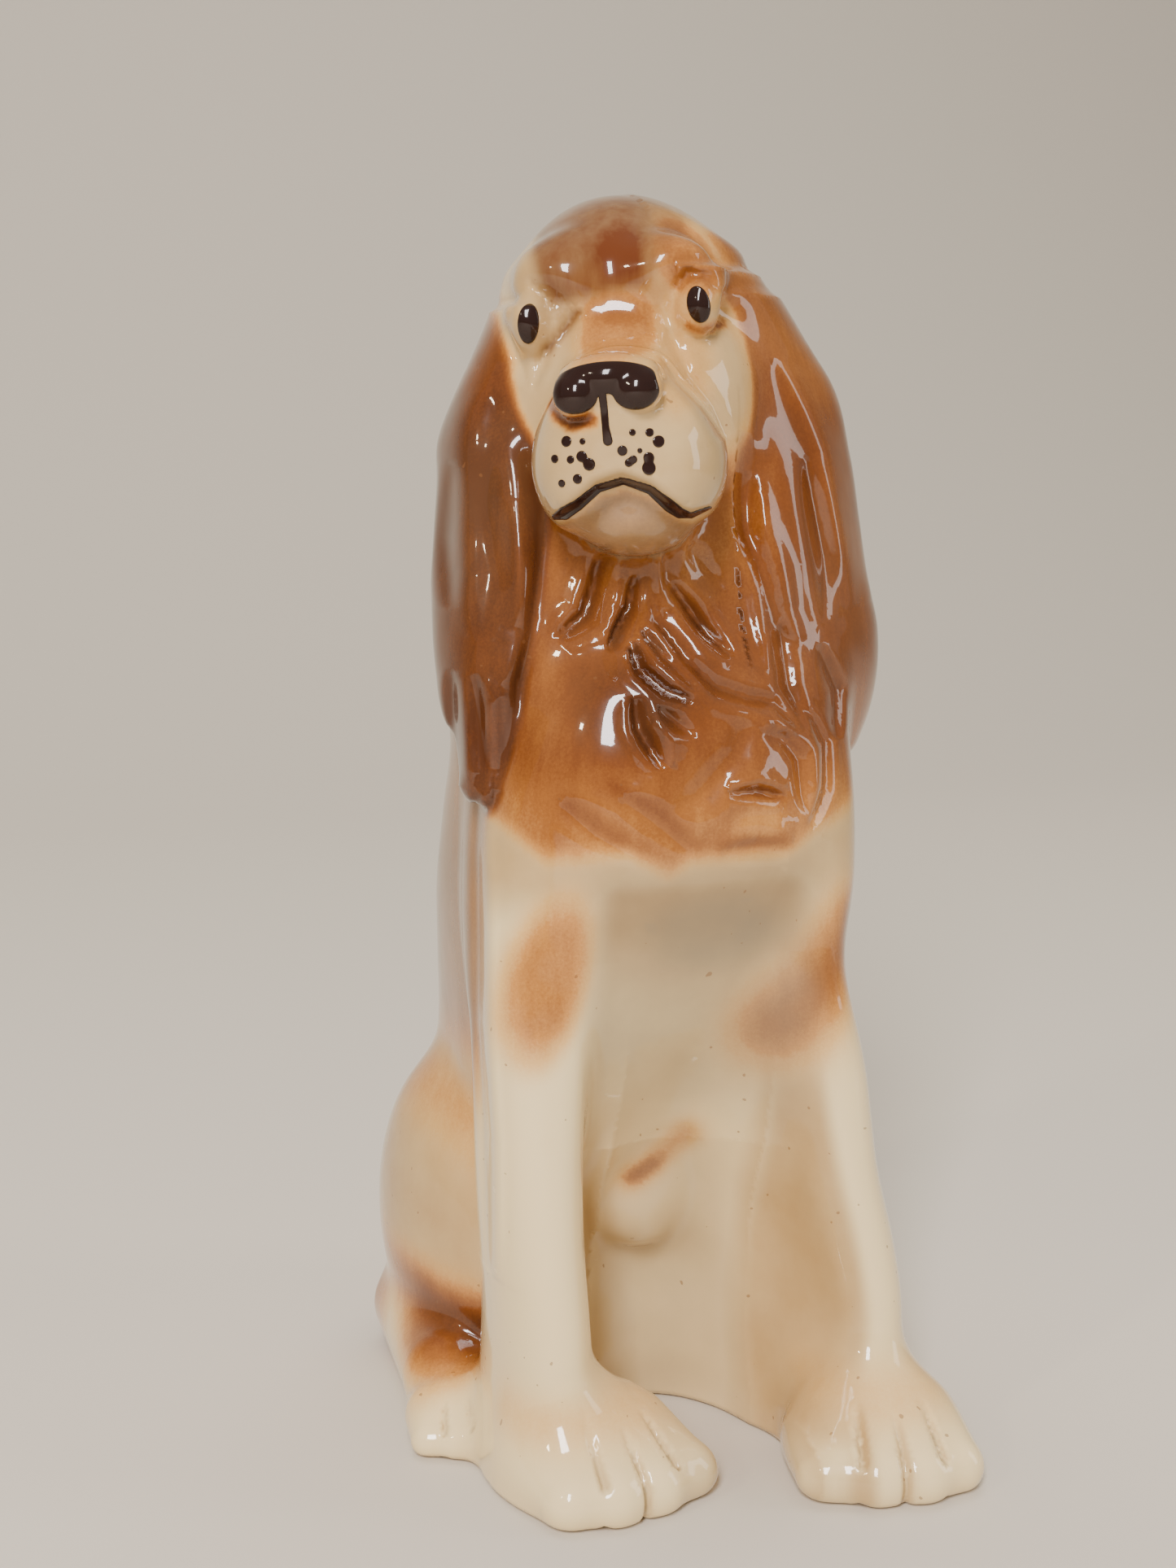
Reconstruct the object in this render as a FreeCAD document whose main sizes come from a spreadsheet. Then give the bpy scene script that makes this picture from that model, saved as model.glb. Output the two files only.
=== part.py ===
import FreeCAD, Part

import os

# Seated ceramic spaniel. Millimetres, +Z up, the body faces -Y, +X is the dog's left.
# The origin is on the table, midway between the front toes and the rump.

# ---------------------------------------------------------------- driving dimensions

WALLS = [
    ("wall", 4.0, "thickness of the slip-cast wall"),
    ("enamel", 0.5, "thickness of the fired enamel marks"),
    ("neck_joint", 172.0, "height where the head casting is luted to the body casting"),
    ("vent_radius", 4.0, "vent hole in the base"),
    ("vent_back", 28.0, "vent hole, distance behind the origin"),
]

# Cross-sections of the torso casting: height, centre towards the rump, half width, half depth.
TORSO = {
    "base": (0.0, 29.0, 34.0, 31.0),
    "rump": (16.0, 29.5, 36.5, 34.0),
    "hip": (45.0, 25.5, 37.0, 37.0),
    "waist": (75.0, 11.0, 37.0, 41.5),
    "ribs": (105.0, 0.0, 39.5, 42.0),
    "chest": (130.0, -3.0, 39.5, 39.5),
    "ruff": (150.0, -2.0, 38.5, 36.0),
    "neck": (172.0, 1.0, 36.0, 32.5),
}

# The head is shaped facing -Y on its own axis, then turned to the dog's right.
HEAD = [
    ("head_x", -3.0, "head axis, sideways"),
    ("head_y", -3.0, "head axis, fore and aft"),
    ("head_turn", -24.0, "turn of the head about its axis, degrees"),
    ("neck_top", 200.0, "top of the neck inside the skull"),
    ("neck_top_width", 22.0, "half width of the neck there"),
    ("skull_centre", 211.0, "height of the skull's centre"),
    ("skull_width", 27.0, "half width of the skull"),
    ("skull_depth", 31.0, "half depth of the skull"),
    ("skull_rise", 29.0, "half height of the skull"),
    ("muzzle_side", 1.5, "muzzle centre to the left of the head axis"),
    ("muzzle_reach", 36.0, "muzzle centre in front of the head axis"),
    ("muzzle_centre", 193.0, "height of the muzzle's centre"),
    ("muzzle_width", 16.5, "half width of the muzzle"),
    ("muzzle_depth", 24.0, "half length of the muzzle"),
    ("muzzle_rise", 16.5, "half height of the muzzle"),
    ("nose_reach", 56.0, "nose centre in front of the head axis"),
    ("nose_centre", 203.0, "height of the nose's centre"),
    ("nose_width", 9.0, "half width of the nose"),
    ("nose_depth", 5.0, "half depth of the nose"),
    ("nose_rise", 5.0, "half height of the nose"),
    ("eye_spread", 15.0, "eye centre from the head's middle"),
    ("eye_reach", 26.0, "eye centre in front of the head axis"),
    ("eye_centre", 216.5, "height of the eyes"),
    ("eye_width", 2.2, "half width of an eye"),
    ("eye_depth", 2.2, "half depth of an eye"),
    ("eye_rise", 3.3, "half height of an eye"),
    ("line_width", 1.4, "width of the philtrum stroke"),
    ("mouth_centre", 177.0, "height of the mouth arch's centre"),
    ("mouth_radius", 12.0, "outer radius of the mouth arch"),
    ("mouth_width", 1.6, "width of the mouth stroke"),
    ("dot_radius", 1.1, "radius of a whisker dot"),
    ("dot_spread", 7.5, "innermost column of dots from the head's middle"),
    ("dot_pitch", 3.2, "distance between dots"),
    ("dot_centre", 193.0, "height of the middle row of dots"),
]

# Ears: height, sideways, fore-and-aft, half thickness, half width, of each section.
EARS = {
    "right_ear": {
        "turn": 5.0,
        "root": (218.0, -22.0, 1.0, 3.5, 8.0),
        "fold": (208.0, -28.5, -1.0, 6.0, 12.0),
        "flap": (190.0, -32.5, -5.0, 6.5, 16.0),
        "swell": (165.0, -35.5, -10.0, 6.5, 16.0),
        "curl": (145.0, -38.0, -16.0, 5.0, 11.0),
        "tip": (130.0, -40.0, -21.0, 2.5, 5.0),
    },
    "left_ear": {
        "turn": -50.0,
        "root": (219.0, 19.0, -8.0, 4.0, 9.0),
        "fold": (207.0, 25.0, -10.0, 5.5, 13.5),
        "flap": (187.0, 26.5, -15.0, 7.2, 18.0),
        "swell": (165.0, 28.5, -17.5, 7.5, 19.3),
        "curl": (145.0, 33.5, -16.5, 6.8, 15.0),
        "tip": (130.0, 36.0, -15.0, 3.5, 7.0),
    },
}

# Forelegs: height, spread from the middle, forward reach, half width, half depth.
FORELEG = {
    "sole": (0.0, 30.0, 27.0, 11.0, 23.0),
    "ankle": (14.0, 30.5, 28.0, 9.5, 21.0),
    "shin": (30.0, 31.0, 29.0, 8.8, 19.5),
    "elbow": (52.0, 32.0, 28.0, 9.0, 18.0),
    "upper": (75.0, 31.0, 26.0, 9.5, 17.5),
    "shoulder": (105.0, 28.0, 21.0, 11.5, 18.0),
    "withers": (132.0, 22.0, 14.0, 12.0, 14.0),
}

LEGS = [
    ("left_paw_side", 34.5, "left front paw centre, sideways"),
    ("left_paw_reach", 44.5, "left front paw centre in front of the origin"),
    ("left_paw_turn", -8.0, "turn of the left front paw, degrees"),
    ("right_paw_side", -24.0, "right front paw centre, sideways"),
    ("right_paw_reach", 39.0, "right front paw centre in front of the origin"),
    ("right_paw_turn", 14.0, "turn of the right front paw, degrees"),
    ("paw_width", 16.0, "half width of a front paw"),
    ("paw_depth", 20.5, "half length of a front paw"),
    ("paw_rise", 17.0, "height of a front paw"),
    ("haunch_spread", 29.5, "haunch centre from the middle"),
    ("haunch_back", 21.0, "haunch centre behind the origin"),
    ("haunch_centre", 35.0, "height of the haunch's centre"),
    ("haunch_width", 18.0, "half width of a haunch"),
    ("haunch_depth", 31.0, "half depth of a haunch"),
    ("haunch_rise", 36.0, "half height of a haunch"),
    ("foot_spread", 39.0, "hind foot centre from the middle"),
    ("foot_back", 7.0, "hind foot centre behind the origin"),
    ("foot_width", 10.0, "half width of a hind foot"),
    ("foot_depth", 30.0, "half length of a hind foot"),
    ("foot_rise", 14.0, "height of a hind foot"),
    ("tail_side", 17.0, "tail centre, sideways"),
    ("tail_back", 53.0, "tail centre behind the origin"),
    ("tail_length", 26.0, "half length of the tail"),
    ("tail_thick", 9.0, "half thickness of the tail"),
    ("tail_turn", -28.0, "how far the tail curls round the rump, degrees"),
]

SECTION = ("height", "side", "back", "half_width", "half_depth")

os.makedirs("parts", exist_ok=True)
doc = FreeCAD.newDocument("spaniel")
dims = doc.addObject("Spreadsheet::Sheet", "dims")
next_row = 1


def cell(alias, value, note=""):
    """One row of the sheet: a plain number with an alias, and what it means."""
    global next_row
    dims.set(f"A{next_row}", alias)
    dims.set(f"B{next_row}", str(value))
    dims.set(f"C{next_row}", note)
    dims.setAlias(f"B{next_row}", alias)
    next_row += 1


for name, value, note in WALLS + HEAD + LEGS:
    cell(name, value, note)
for name, (height, back, half_width, half_depth) in TORSO.items():
    for word, value in zip(SECTION, (height, 0.0, back, half_width, half_depth)):
        cell(f"torso_{name}_{word}", value)
for name, (height, spread, reach, half_width, half_depth) in FORELEG.items():
    for word, value in zip(SECTION, (height, spread, -reach, half_width, half_depth)):
        cell(f"leg_{name}_{word}", value)
for ear, sections in EARS.items():
    for name, values in sections.items():
        if name == "turn":
            cell(f"{ear}_turn", values, "turn of the ear's flat about the vertical, degrees")
            continue
        for word, value in zip(SECTION, values):
            cell(f"{ear}_{name}_{word}", value)
doc.recompute()

# ---------------------------------------------------------------- building blocks


def bind(obj, **sizes):
    """Drive properties from the sheet; a double underscore in a name is a dot."""
    for prop, expression in sizes.items():
        obj.setExpression(prop.replace("__", "."), expression)
    return obj


def at(obj, x="0", y="0", z="0", turn=None):
    bind(obj, Placement__Base__x=x, Placement__Base__y=y, Placement__Base__z=z)
    if turn:
        obj.Placement.Rotation = FreeCAD.Rotation(FreeCAD.Vector(0, 0, 1), 1)
        bind(obj, Placement__Rotation__Angle=turn)
    return obj


def ellipsoid(name, width, depth, rise):
    obj = doc.addObject("Part::Ellipsoid", name)
    return bind(obj, Radius1=rise, Radius2=width, Radius3=depth)


def fuse(name, *shapes):
    obj = doc.addObject("Part::MultiFuse", name)
    obj.Shapes = list(shapes)
    return obj


def cut(name, base, tool):
    obj = doc.addObject("Part::Cut", name)
    obj.Base = base
    obj.Tool = tool
    return obj


def common(name, *shapes):
    obj = doc.addObject("Part::MultiCommon", name)
    obj.Shapes = list(shapes)
    return obj


def oval(name, width, depth, x, y, z, turn=None):
    """A horizontal oval. Part::Ellipse wants its longer radius first, so a deep oval is turned."""
    obj = doc.addObject("Part::Ellipse", name)
    obj.Placement.Rotation = FreeCAD.Rotation(FreeCAD.Vector(0, 0, 1), 90)
    bind(obj, MajorRadius=f"max({width}; {depth})", MinorRadius=f"min({width}; {depth})")
    bind(obj, Placement__Rotation__Angle=f"({depth} > {width} ? 90 : 0.001) + {turn or '0'}")
    return at(obj, x, y, z)


def loft(name, sections):
    obj = doc.addObject("Part::Loft", name)
    obj.Sections = sections
    obj.Solid = True
    return obj


def above_table(name, shape):
    """Keep what stands above the table."""
    ground = doc.addObject("Part::Box", f"{name}_ground")
    bind(ground, Length="400", Width="400", Height="100")
    at(ground, "-200", "-200", "-100")
    return cut(name, shape, ground)


def torso_loft(name, inset, floor):
    """The torso, or its cavity when inset by the wall."""
    ovals = []
    for station in TORSO:
        key = f"dims.torso_{station}_"
        ovals.append(oval(f"{name}_{station}", f"{key}half_width - {inset}", f"{key}half_depth - {inset}",
                          "0", f"{key}back", f"{key}height + ({key}height == 0 ? {floor} : 0)"))
    return loft(name, ovals)


def head_form(name, inset):
    """Skull, muzzle and neck, facing -Y on the head's axis; inset by the wall for the cavity."""
    skull = at(ellipsoid(f"{name}_skull", f"dims.skull_width - {inset}", f"dims.skull_depth - {inset}",
                         f"dims.skull_rise - {inset}"), z="dims.skull_centre")
    muzzle = at(ellipsoid(f"{name}_muzzle", f"dims.muzzle_width - {inset}", f"dims.muzzle_depth - {inset}",
                          f"dims.muzzle_rise - {inset}"),
                "dims.muzzle_side", "-dims.muzzle_reach", "dims.muzzle_centre")
    return fuse(name, skull, muzzle)


def turned_with_head(obj):
    return at(obj, "dims.head_x", "dims.head_y", "0", "360 + dims.head_turn")


# ---------------------------------------------------------------- body casting

torso = torso_loft("torso", "0", "0")
torso_cavity = torso_loft("torso_cavity", "dims.wall", "dims.wall")
vent = doc.addObject("Part::Cylinder", "vent")
bind(vent, Radius="dims.vent_radius", Height="3 * dims.wall")
at(vent, "0", "dims.vent_back", "-dims.wall")
body_shell = cut("body_shell", torso, fuse("body_hollow", torso_cavity, vent))

# ---------------------------------------------------------------- head casting


def neck_loft(name, inset):
    low = oval(f"{name}_low", f"dims.torso_neck_half_width - {inset}", f"dims.torso_neck_half_depth - {inset}",
               "0", "dims.torso_neck_back", "dims.neck_joint")
    top = oval(f"{name}_top", f"dims.neck_top_width - {inset}", f"dims.neck_top_width - {inset}",
               "dims.head_x", "dims.head_y", "dims.neck_top")
    return loft(name, [low, top])


nose_bump = at(ellipsoid("nose_bump", "dims.nose_width", "dims.nose_depth", "dims.nose_rise"),
               y="-dims.nose_reach", z="dims.nose_centre")
head_outer = turned_with_head(fuse("head_outer", head_form("face", "0"), nose_bump))
head_inner = turned_with_head(head_form("head_inner", "dims.wall"))
head_solid = fuse("head_solid", head_outer, neck_loft("neck", "0"))
head_cavity = fuse("head_cavity", head_inner, neck_loft("neck_cavity", "dims.wall"))
head_shell = cut("head_shell", head_solid, head_cavity)

figure = fuse("figure", torso, head_solid)

# ---------------------------------------------------------------- ears


def ear_casting(ear):
    ovals = []
    for station in EARS[ear]:
        if station == "turn":
            continue
        key = f"dims.{ear}_{station}_"
        ovals.append(oval(f"{ear}_{station}", f"{key}half_width", f"{key}half_depth",
                          f"{key}side", f"{key}back", f"{key}height", f"dims.{ear}_turn"))
    return cut(ear, loft(f"{ear}_form", ovals), figure)


ears = [ear_casting(ear) for ear in EARS]

# ---------------------------------------------------------------- legs and tail


def foreleg(side, sign):
    ovals = []
    for station in FORELEG:
        key = f"dims.leg_{station}_"
        ovals.append(oval(f"{side}_leg_{station}", f"{key}half_width", f"{key}half_depth",
                          f"{sign} * {key}side", f"{key}back", f"{key}height"))
    paw = at(ellipsoid(f"{side}_paw", "dims.paw_width", "dims.paw_depth", "dims.paw_rise"),
             f"dims.{side}_paw_side", f"-dims.{side}_paw_reach", "0", f"360 + dims.{side}_paw_turn")
    whole = fuse(f"{side}_foreleg_form", loft(f"{side}_leg", ovals), paw)
    trimmed = cut(f"{side}_foreleg_trimmed", whole, torso)
    return above_table(f"{side}_foreleg", trimmed), whole


def hind_leg(side, sign, foreleg_form):
    haunch = at(ellipsoid(f"{side}_haunch", "dims.haunch_width", "dims.haunch_depth", "dims.haunch_rise"),
                f"{sign} * dims.haunch_spread", "dims.haunch_back", "dims.haunch_centre")
    foot = at(ellipsoid(f"{side}_foot", "dims.foot_width", "dims.foot_depth", "dims.foot_rise"),
              f"{sign} * dims.foot_spread", "dims.foot_back")
    whole = fuse(f"{side}_hind_form", haunch, foot)
    trimmed = cut(f"{side}_hind_trimmed", cut(f"{side}_hind_seat", whole, torso), foreleg_form)
    return above_table(f"{side}_hind_leg", trimmed)


SIDES = (("left", 1), ("right", -1))
forelegs = []
hind_legs = []
for side, sign in SIDES:
    leg, leg_form = foreleg(side, sign)
    forelegs.append(leg)
    hind_legs.append(hind_leg(side, sign, leg_form))

tail_form = at(ellipsoid("tail_form", "dims.tail_length", "dims.tail_thick", "dims.tail_thick"),
               "dims.tail_side", "dims.tail_back", "dims.tail_thick - 1", "360 + dims.tail_turn")
tail = above_table("tail", cut("tail_clear", cut("tail_trimmed", tail_form, torso), hind_legs[0]))

# ---------------------------------------------------------------- enamel marks


def on_head(name, width, depth, rise, side, forward, height):
    """An ellipsoid lying along the line of sight of the turned head, so that one pole is at the
    middle of what shows; side and forward are from the head's axis."""
    obj = doc.addObject("Part::Ellipsoid", name)
    bind(obj, Radius1=depth, Radius2=rise, Radius3=width)
    x = f"dims.head_x + ({side}) * cos(dims.head_turn * 1 deg) + ({forward}) * sin(dims.head_turn * 1 deg)"
    y = f"dims.head_y + ({side}) * sin(dims.head_turn * 1 deg) - ({forward}) * cos(dims.head_turn * 1 deg)"
    bind(obj, Placement__Base__x=x, Placement__Base__y=y, Placement__Base__z=height)
    obj.setExpression("Placement.Rotation", "create(<<rotation>>; dims.head_turn; 90; 90)")
    return obj


def eye(side, sign):
    dome = on_head(f"{side}_eye_dome", "dims.eye_width", "dims.eye_depth", "dims.eye_rise",
                   f"{sign} * dims.eye_spread", "dims.eye_reach", "dims.eye_centre")
    return cut(f"{side}_eye", dome, head_solid)


def film(name):
    """The muzzle grown by the enamel: what a painted mark on it is cut from."""
    return at(ellipsoid(name, "dims.muzzle_width + dims.enamel", "dims.muzzle_depth + dims.enamel",
                        "dims.muzzle_rise + dims.enamel"),
              "dims.muzzle_side", "-dims.muzzle_reach", "dims.muzzle_centre")


def painted_mark(name, brush):
    """A mark on the front of the muzzle, where the brush shape meets the enamel film."""
    mark = turned_with_head(common(f"{name}_turned", film(f"{name}_film"), brush))
    return cut(name, mark, head_solid)


def bar_forward(obj):
    """Lay a cylinder along -Y, so that it crosses the front of the muzzle."""
    obj.Placement.Rotation = FreeCAD.Rotation(FreeCAD.Vector(1, 0, 0), 90)
    return obj


def philtrum():
    stroke = doc.addObject("Part::Box", "philtrum_brush")
    bind(stroke, Length="dims.line_width", Width="dims.muzzle_depth * 2",
         Height="dims.nose_centre - dims.nose_rise - dims.mouth_centre - dims.mouth_radius + 1")
    at(stroke, "-dims.line_width / 2", "-dims.muzzle_reach - dims.muzzle_depth * 2",
       "dims.mouth_centre + dims.mouth_radius")
    return painted_mark("philtrum_line", stroke)


def mouth():
    """An arch: a ring with its lower half taken away."""
    outer = bar_forward(doc.addObject("Part::Cylinder", "mouth_outer"))
    inner = bar_forward(doc.addObject("Part::Cylinder", "mouth_inner"))
    bind(outer, Radius="dims.mouth_radius", Height="100")
    bind(inner, Radius="dims.mouth_radius - dims.mouth_width", Height="100")
    for ring in (outer, inner):
        at(ring, "dims.muzzle_side", "-dims.muzzle_reach", "dims.mouth_centre")
    half = doc.addObject("Part::Box", "mouth_half")
    bind(half, Length="60", Width="200", Height="30")
    at(half, "dims.muzzle_side - 30", "-200", "dims.mouth_centre + 2")
    return painted_mark("mouth_line", common("mouth_brush", cut("mouth_ring", outer, inner), half))


def whisker_dots(side, sign):
    """Three rows of dots on one cheek, set out on a staggered grid."""
    dots = []
    for row, count in ((1, 2), (0, 3), (-1, 2)):
        for column in range(count):
            dot = bar_forward(doc.addObject("Part::Cylinder", f"{side}_dot_{row + 1}_{column}"))
            bind(dot, Radius="dims.dot_radius", Height="100")
            at(dot, f"{sign} * (dims.dot_spread + {column + abs(row) / 2} * dims.dot_pitch - dims.dot_pitch)",
               "-dims.muzzle_reach", f"dims.dot_centre + {row} * dims.dot_pitch")
            dots.append(dot)
    return painted_mark(f"{side}_whisker_dots", fuse(f"{side}_dots_brush", *dots))


nose_coat = on_head("nose_coat", "dims.nose_width + dims.enamel", "dims.nose_depth + dims.enamel",
                    "dims.nose_rise + dims.enamel", "0", "dims.nose_reach", "dims.nose_centre")
nose = cut("nose", nose_coat, head_solid)

marks = [eye(side, sign) for side, sign in SIDES]
marks += [nose, philtrum(), mouth()]
marks += [whisker_dots(side, sign) for side, sign in SIDES]

# ---------------------------------------------------------------- check and export

pieces = [body_shell, head_shell, tail] + ears + forelegs + hind_legs + marks
doc.recompute()
for obj in doc.Objects:
    if "Invalid" in obj.State or "Error" in obj.State:
        raise RuntimeError(f"{obj.Name} did not compute: {obj.State}")
for piece in pieces:
    shape = piece.Shape
    if shape.isNull() or not shape.isValid() or shape.Volume <= 0:
        raise RuntimeError(f"{piece.Label} has no valid solid")
    shape.exportStep(f"parts/{piece.Label}.step")
    print(f"{piece.Label}: {len(shape.Solids)} solid(s), {shape.Volume / 1000:.2f} cm3")
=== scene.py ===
import math

import bpy
import numpy as np
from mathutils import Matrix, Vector


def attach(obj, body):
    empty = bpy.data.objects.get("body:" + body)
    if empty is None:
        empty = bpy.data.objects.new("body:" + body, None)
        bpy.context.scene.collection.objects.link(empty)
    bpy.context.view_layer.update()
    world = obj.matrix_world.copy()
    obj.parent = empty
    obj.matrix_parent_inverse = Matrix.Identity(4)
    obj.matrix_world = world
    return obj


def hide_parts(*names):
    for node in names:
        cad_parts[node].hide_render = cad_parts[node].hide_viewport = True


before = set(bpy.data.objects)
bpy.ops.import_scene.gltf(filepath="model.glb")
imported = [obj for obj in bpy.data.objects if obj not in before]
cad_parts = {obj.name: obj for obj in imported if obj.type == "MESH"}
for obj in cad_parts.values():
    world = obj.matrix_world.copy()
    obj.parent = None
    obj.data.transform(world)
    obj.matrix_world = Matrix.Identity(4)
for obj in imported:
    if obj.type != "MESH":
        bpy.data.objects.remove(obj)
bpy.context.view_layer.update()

# A glazed ceramic spaniel, sculpted as one distance field and parted into its castings.
# The sculpt is in millimetres in the frame's own axes: +Z up, the body faces -Y, +X is the
# dog's left. Meshes are written in metres.
MM = 0.001
VOXEL = 1.04
RIGHT, LEFT = -1, 1

# -------- distance fields


def length(vectors):
    return np.sqrt(np.einsum("ij,ij->i", vectors, vectors))


def smooth_union(one, two, blend):
    """Join two fields with a fillet of about the blend's size."""
    overlap = np.maximum(blend - np.abs(one - two), 0.0) / blend
    return np.minimum(one, two) - overlap * overlap * blend * 0.25


def smooth_cut(one, two, blend):
    """Keep what is inside both fields, with a rounded edge."""
    return -smooth_union(-one, -two, blend)


def ellipsoid(points, centre, radii, axes=None):
    local = points - np.array(centre, float)
    if axes is not None:
        local = local @ axes
    scaled = local / np.array(radii, float)
    reach = length(scaled)
    return reach * (reach - 1.0) / np.maximum(length(scaled / np.array(radii, float)), 1e-6)


def capsule(points, start, end, start_radius, end_radius):
    start = np.array(start, float)
    along = np.array(end, float) - start
    local = points - start
    share = np.clip(local @ along / (along @ along), 0.0, 1.0)
    return length(local - share[:, None] * along) - (start_radius + (end_radius - start_radius) * share)


def chain(points, stops):
    """A soft string of capsules: each stop is (x, y, z, radius)."""
    field = None
    for one, two in zip(stops, stops[1:]):
        link = capsule(points, one[:3], two[:3], one[3], two[3])
        field = link if field is None else smooth_union(field, link, 1.5)
    return field


def turned(degrees):
    """Axes turned about the vertical: columns are side, back, up."""
    angle = math.radians(degrees)
    side = (math.cos(angle), math.sin(angle), 0.0)
    back = (-math.sin(angle), math.cos(angle), 0.0)
    return np.array((side, back, (0.0, 0.0, 1.0))).T


def smooth_table(stations, step=0.5):
    """Fair curves through the stations, sampled at even heights."""
    stations = np.array(sorted(stations), float)
    heights, values = stations[:, 0], stations[:, 1:]
    slopes = np.gradient(values, heights, axis=0)
    samples = np.arange(heights[0], heights[-1] + step, step)
    index = np.clip(np.searchsorted(heights, samples, "right") - 1, 0, len(heights) - 2)
    span = (heights[index + 1] - heights[index])[:, None]
    t = np.clip((samples - heights[index])[:, None] / span, 0.0, 1.0)
    start, end = values[index], values[index + 1]
    table = ((1 + 2 * t) * (1 - t) ** 2 * start + t * (1 - t) ** 2 * span * slopes[index]
             + t * t * (3 - 2 * t) * end + t * t * (t - 1) * span * slopes[index + 1])
    return samples, table


class Column:
    """An upright form lofted through ovals. Each station gives its height, then its oval's
    side, back, half width, half depth, turn and squareness."""

    def __init__(self, stations, cap=4.0):
        self.heights, self.table = smooth_table(stations)
        self.low, self.high = self.heights[0], self.heights[-1]
        self.cap = cap

    def oval(self, points, height):
        side, back, width, depth, turn, square = (
            np.interp(height, self.heights, column) for column in self.table.T)
        angle = np.radians(turn)
        x, y = points[:, 0] - side, points[:, 1] - back
        across = np.abs(x * np.cos(angle) + y * np.sin(angle)) / width
        along = np.abs(y * np.cos(angle) - x * np.sin(angle)) / depth
        reach = np.maximum((across ** square + along ** square) ** (1.0 / square), 1e-3)
        slope_across = (across / reach) ** (square - 1.0) / width
        slope_along = (along / reach) ** (square - 1.0) / depth
        return reach, slope_across ** 2 + slope_along ** 2

    def __call__(self, points):
        height = points[:, 2]
        reach, slope = self.oval(points, height)
        rise = (self.oval(points, height + 1.0)[0] - self.oval(points, height - 1.0)[0]) / 2.0
        side = (reach - 1.0) / np.sqrt(slope + rise * rise + 1e-9)
        ends = np.maximum(self.low - height, height - self.high)
        return smooth_cut(side, ends, self.cap)


def stroke(flat, stops):
    """Distance to a run of stops, which side of it, and how far along it, from 0 to 1."""
    stops = np.array(stops, float)
    steps = np.diff(stops, axis=0)
    sizes = length(steps)
    starts = np.concatenate(([0.0], np.cumsum(sizes)))
    nearest = np.full(len(flat), 1e9)
    side = np.zeros(len(flat))
    share = np.zeros(len(flat))
    for start, step, size, before in zip(stops, steps, sizes, starts):
        local = flat - start
        along = np.clip(local @ step / size ** 2, 0.0, 1.0)
        distance = length(local - along[:, None] * step)
        closer = distance < nearest
        nearest[closer] = distance[closer]
        side[closer] = np.sign(step[0] * local[closer, 1] - step[1] * local[closer, 0])
        share[closer] = (before + along[closer] * size) / starts[-1]
    return nearest, side, share


QUARTER = (math.cos(math.radians(-18)), math.sin(math.radians(-18)))


def seen_from_quarter(points):
    """Across and up on an upright plane turned 18 degrees, with the depth behind it."""
    across = points[:, 0] * QUARTER[0] + points[:, 1] * QUARTER[1]
    depth = points[:, 1] * QUARTER[0] - points[:, 0] * QUARTER[1]
    return np.stack((across, points[:, 2]), axis=1), depth


def lock(flat, stops, width, depth, step=0.0):
    """A lock of fur pressed into the clay: a tapering furrow with a raised lip.
    A step lifts the clay on the stroke's left and fades away from it."""
    distance, side, share = stroke(flat, stops)
    taper = np.clip(4.0 * share * (1.0 - share), 0.0, 1.0) ** 0.6
    spread = width * (0.45 + 0.55 * taper)
    press = np.exp(-(distance / spread) ** 2) - 0.28 * np.exp(-((distance - 2.1 * spread) / spread) ** 2)
    lift = step * np.tanh(side * distance / width) * np.exp(-(distance / (3.5 * width)) ** 2)
    return taper * (depth * press - lift)


# -------- the body

TORSO = Column([
    # height, side, back, half width, half depth, turn, squareness
    (-8, 0, 29, 34, 31, 0, 2.6),
    (0, 0, 29, 34, 31, 0, 2.6),
    (12, 0, 29.5, 36, 33.5, 0, 2.6),
    (28, 0, 29, 36.5, 35, 0, 2.6),
    (45, 0, 25.5, 36, 37, 0, 2.6),
    (60, 0, 19.5, 35.5, 39.5, 0, 2.6),
    (75, -1.5, 11, 34.5, 41, 0, 2.7),
    (90, -1.5, 4, 36, 41.5, 0, 2.9),
    (105, -0.8, 0, 37.5, 41, 0, 3.1),
    (120, -0.5, -2.5, 37.2, 40.5, 0, 3.0),
    (135, 0.3, -2.5, 37.2, 38, 0, 2.7),
    (150, 0, -1, 39, 36, 0, 2.5),
    (165, 0, 1, 38, 34, 0, 2.4),
    (180, 0, 2, 35.5, 32, 0, 2.3),
    (195, 0, 2.5, 30.5, 30, 0, 2.2),
    (210, -1, 2, 24, 26, 0, 2.1),
    (222, -2, 1, 16, 18, 0, 2.0),
])


def body_form(p):
    field = TORSO(p)
    ruff = ellipsoid(p, (-5, -33, 132), (25, 13, 24))
    field = smooth_union(field, ruff, 10)
    bump = smooth_union(ellipsoid(p, (-4.5, -11.5, 46.5), (5, 5.5, 9)),
                        ellipsoid(p, (-2, -14.5, 58), (3.2, 3.8, 10)), 4)
    return smooth_union(field, bump, 4)


# -------- legs

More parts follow.
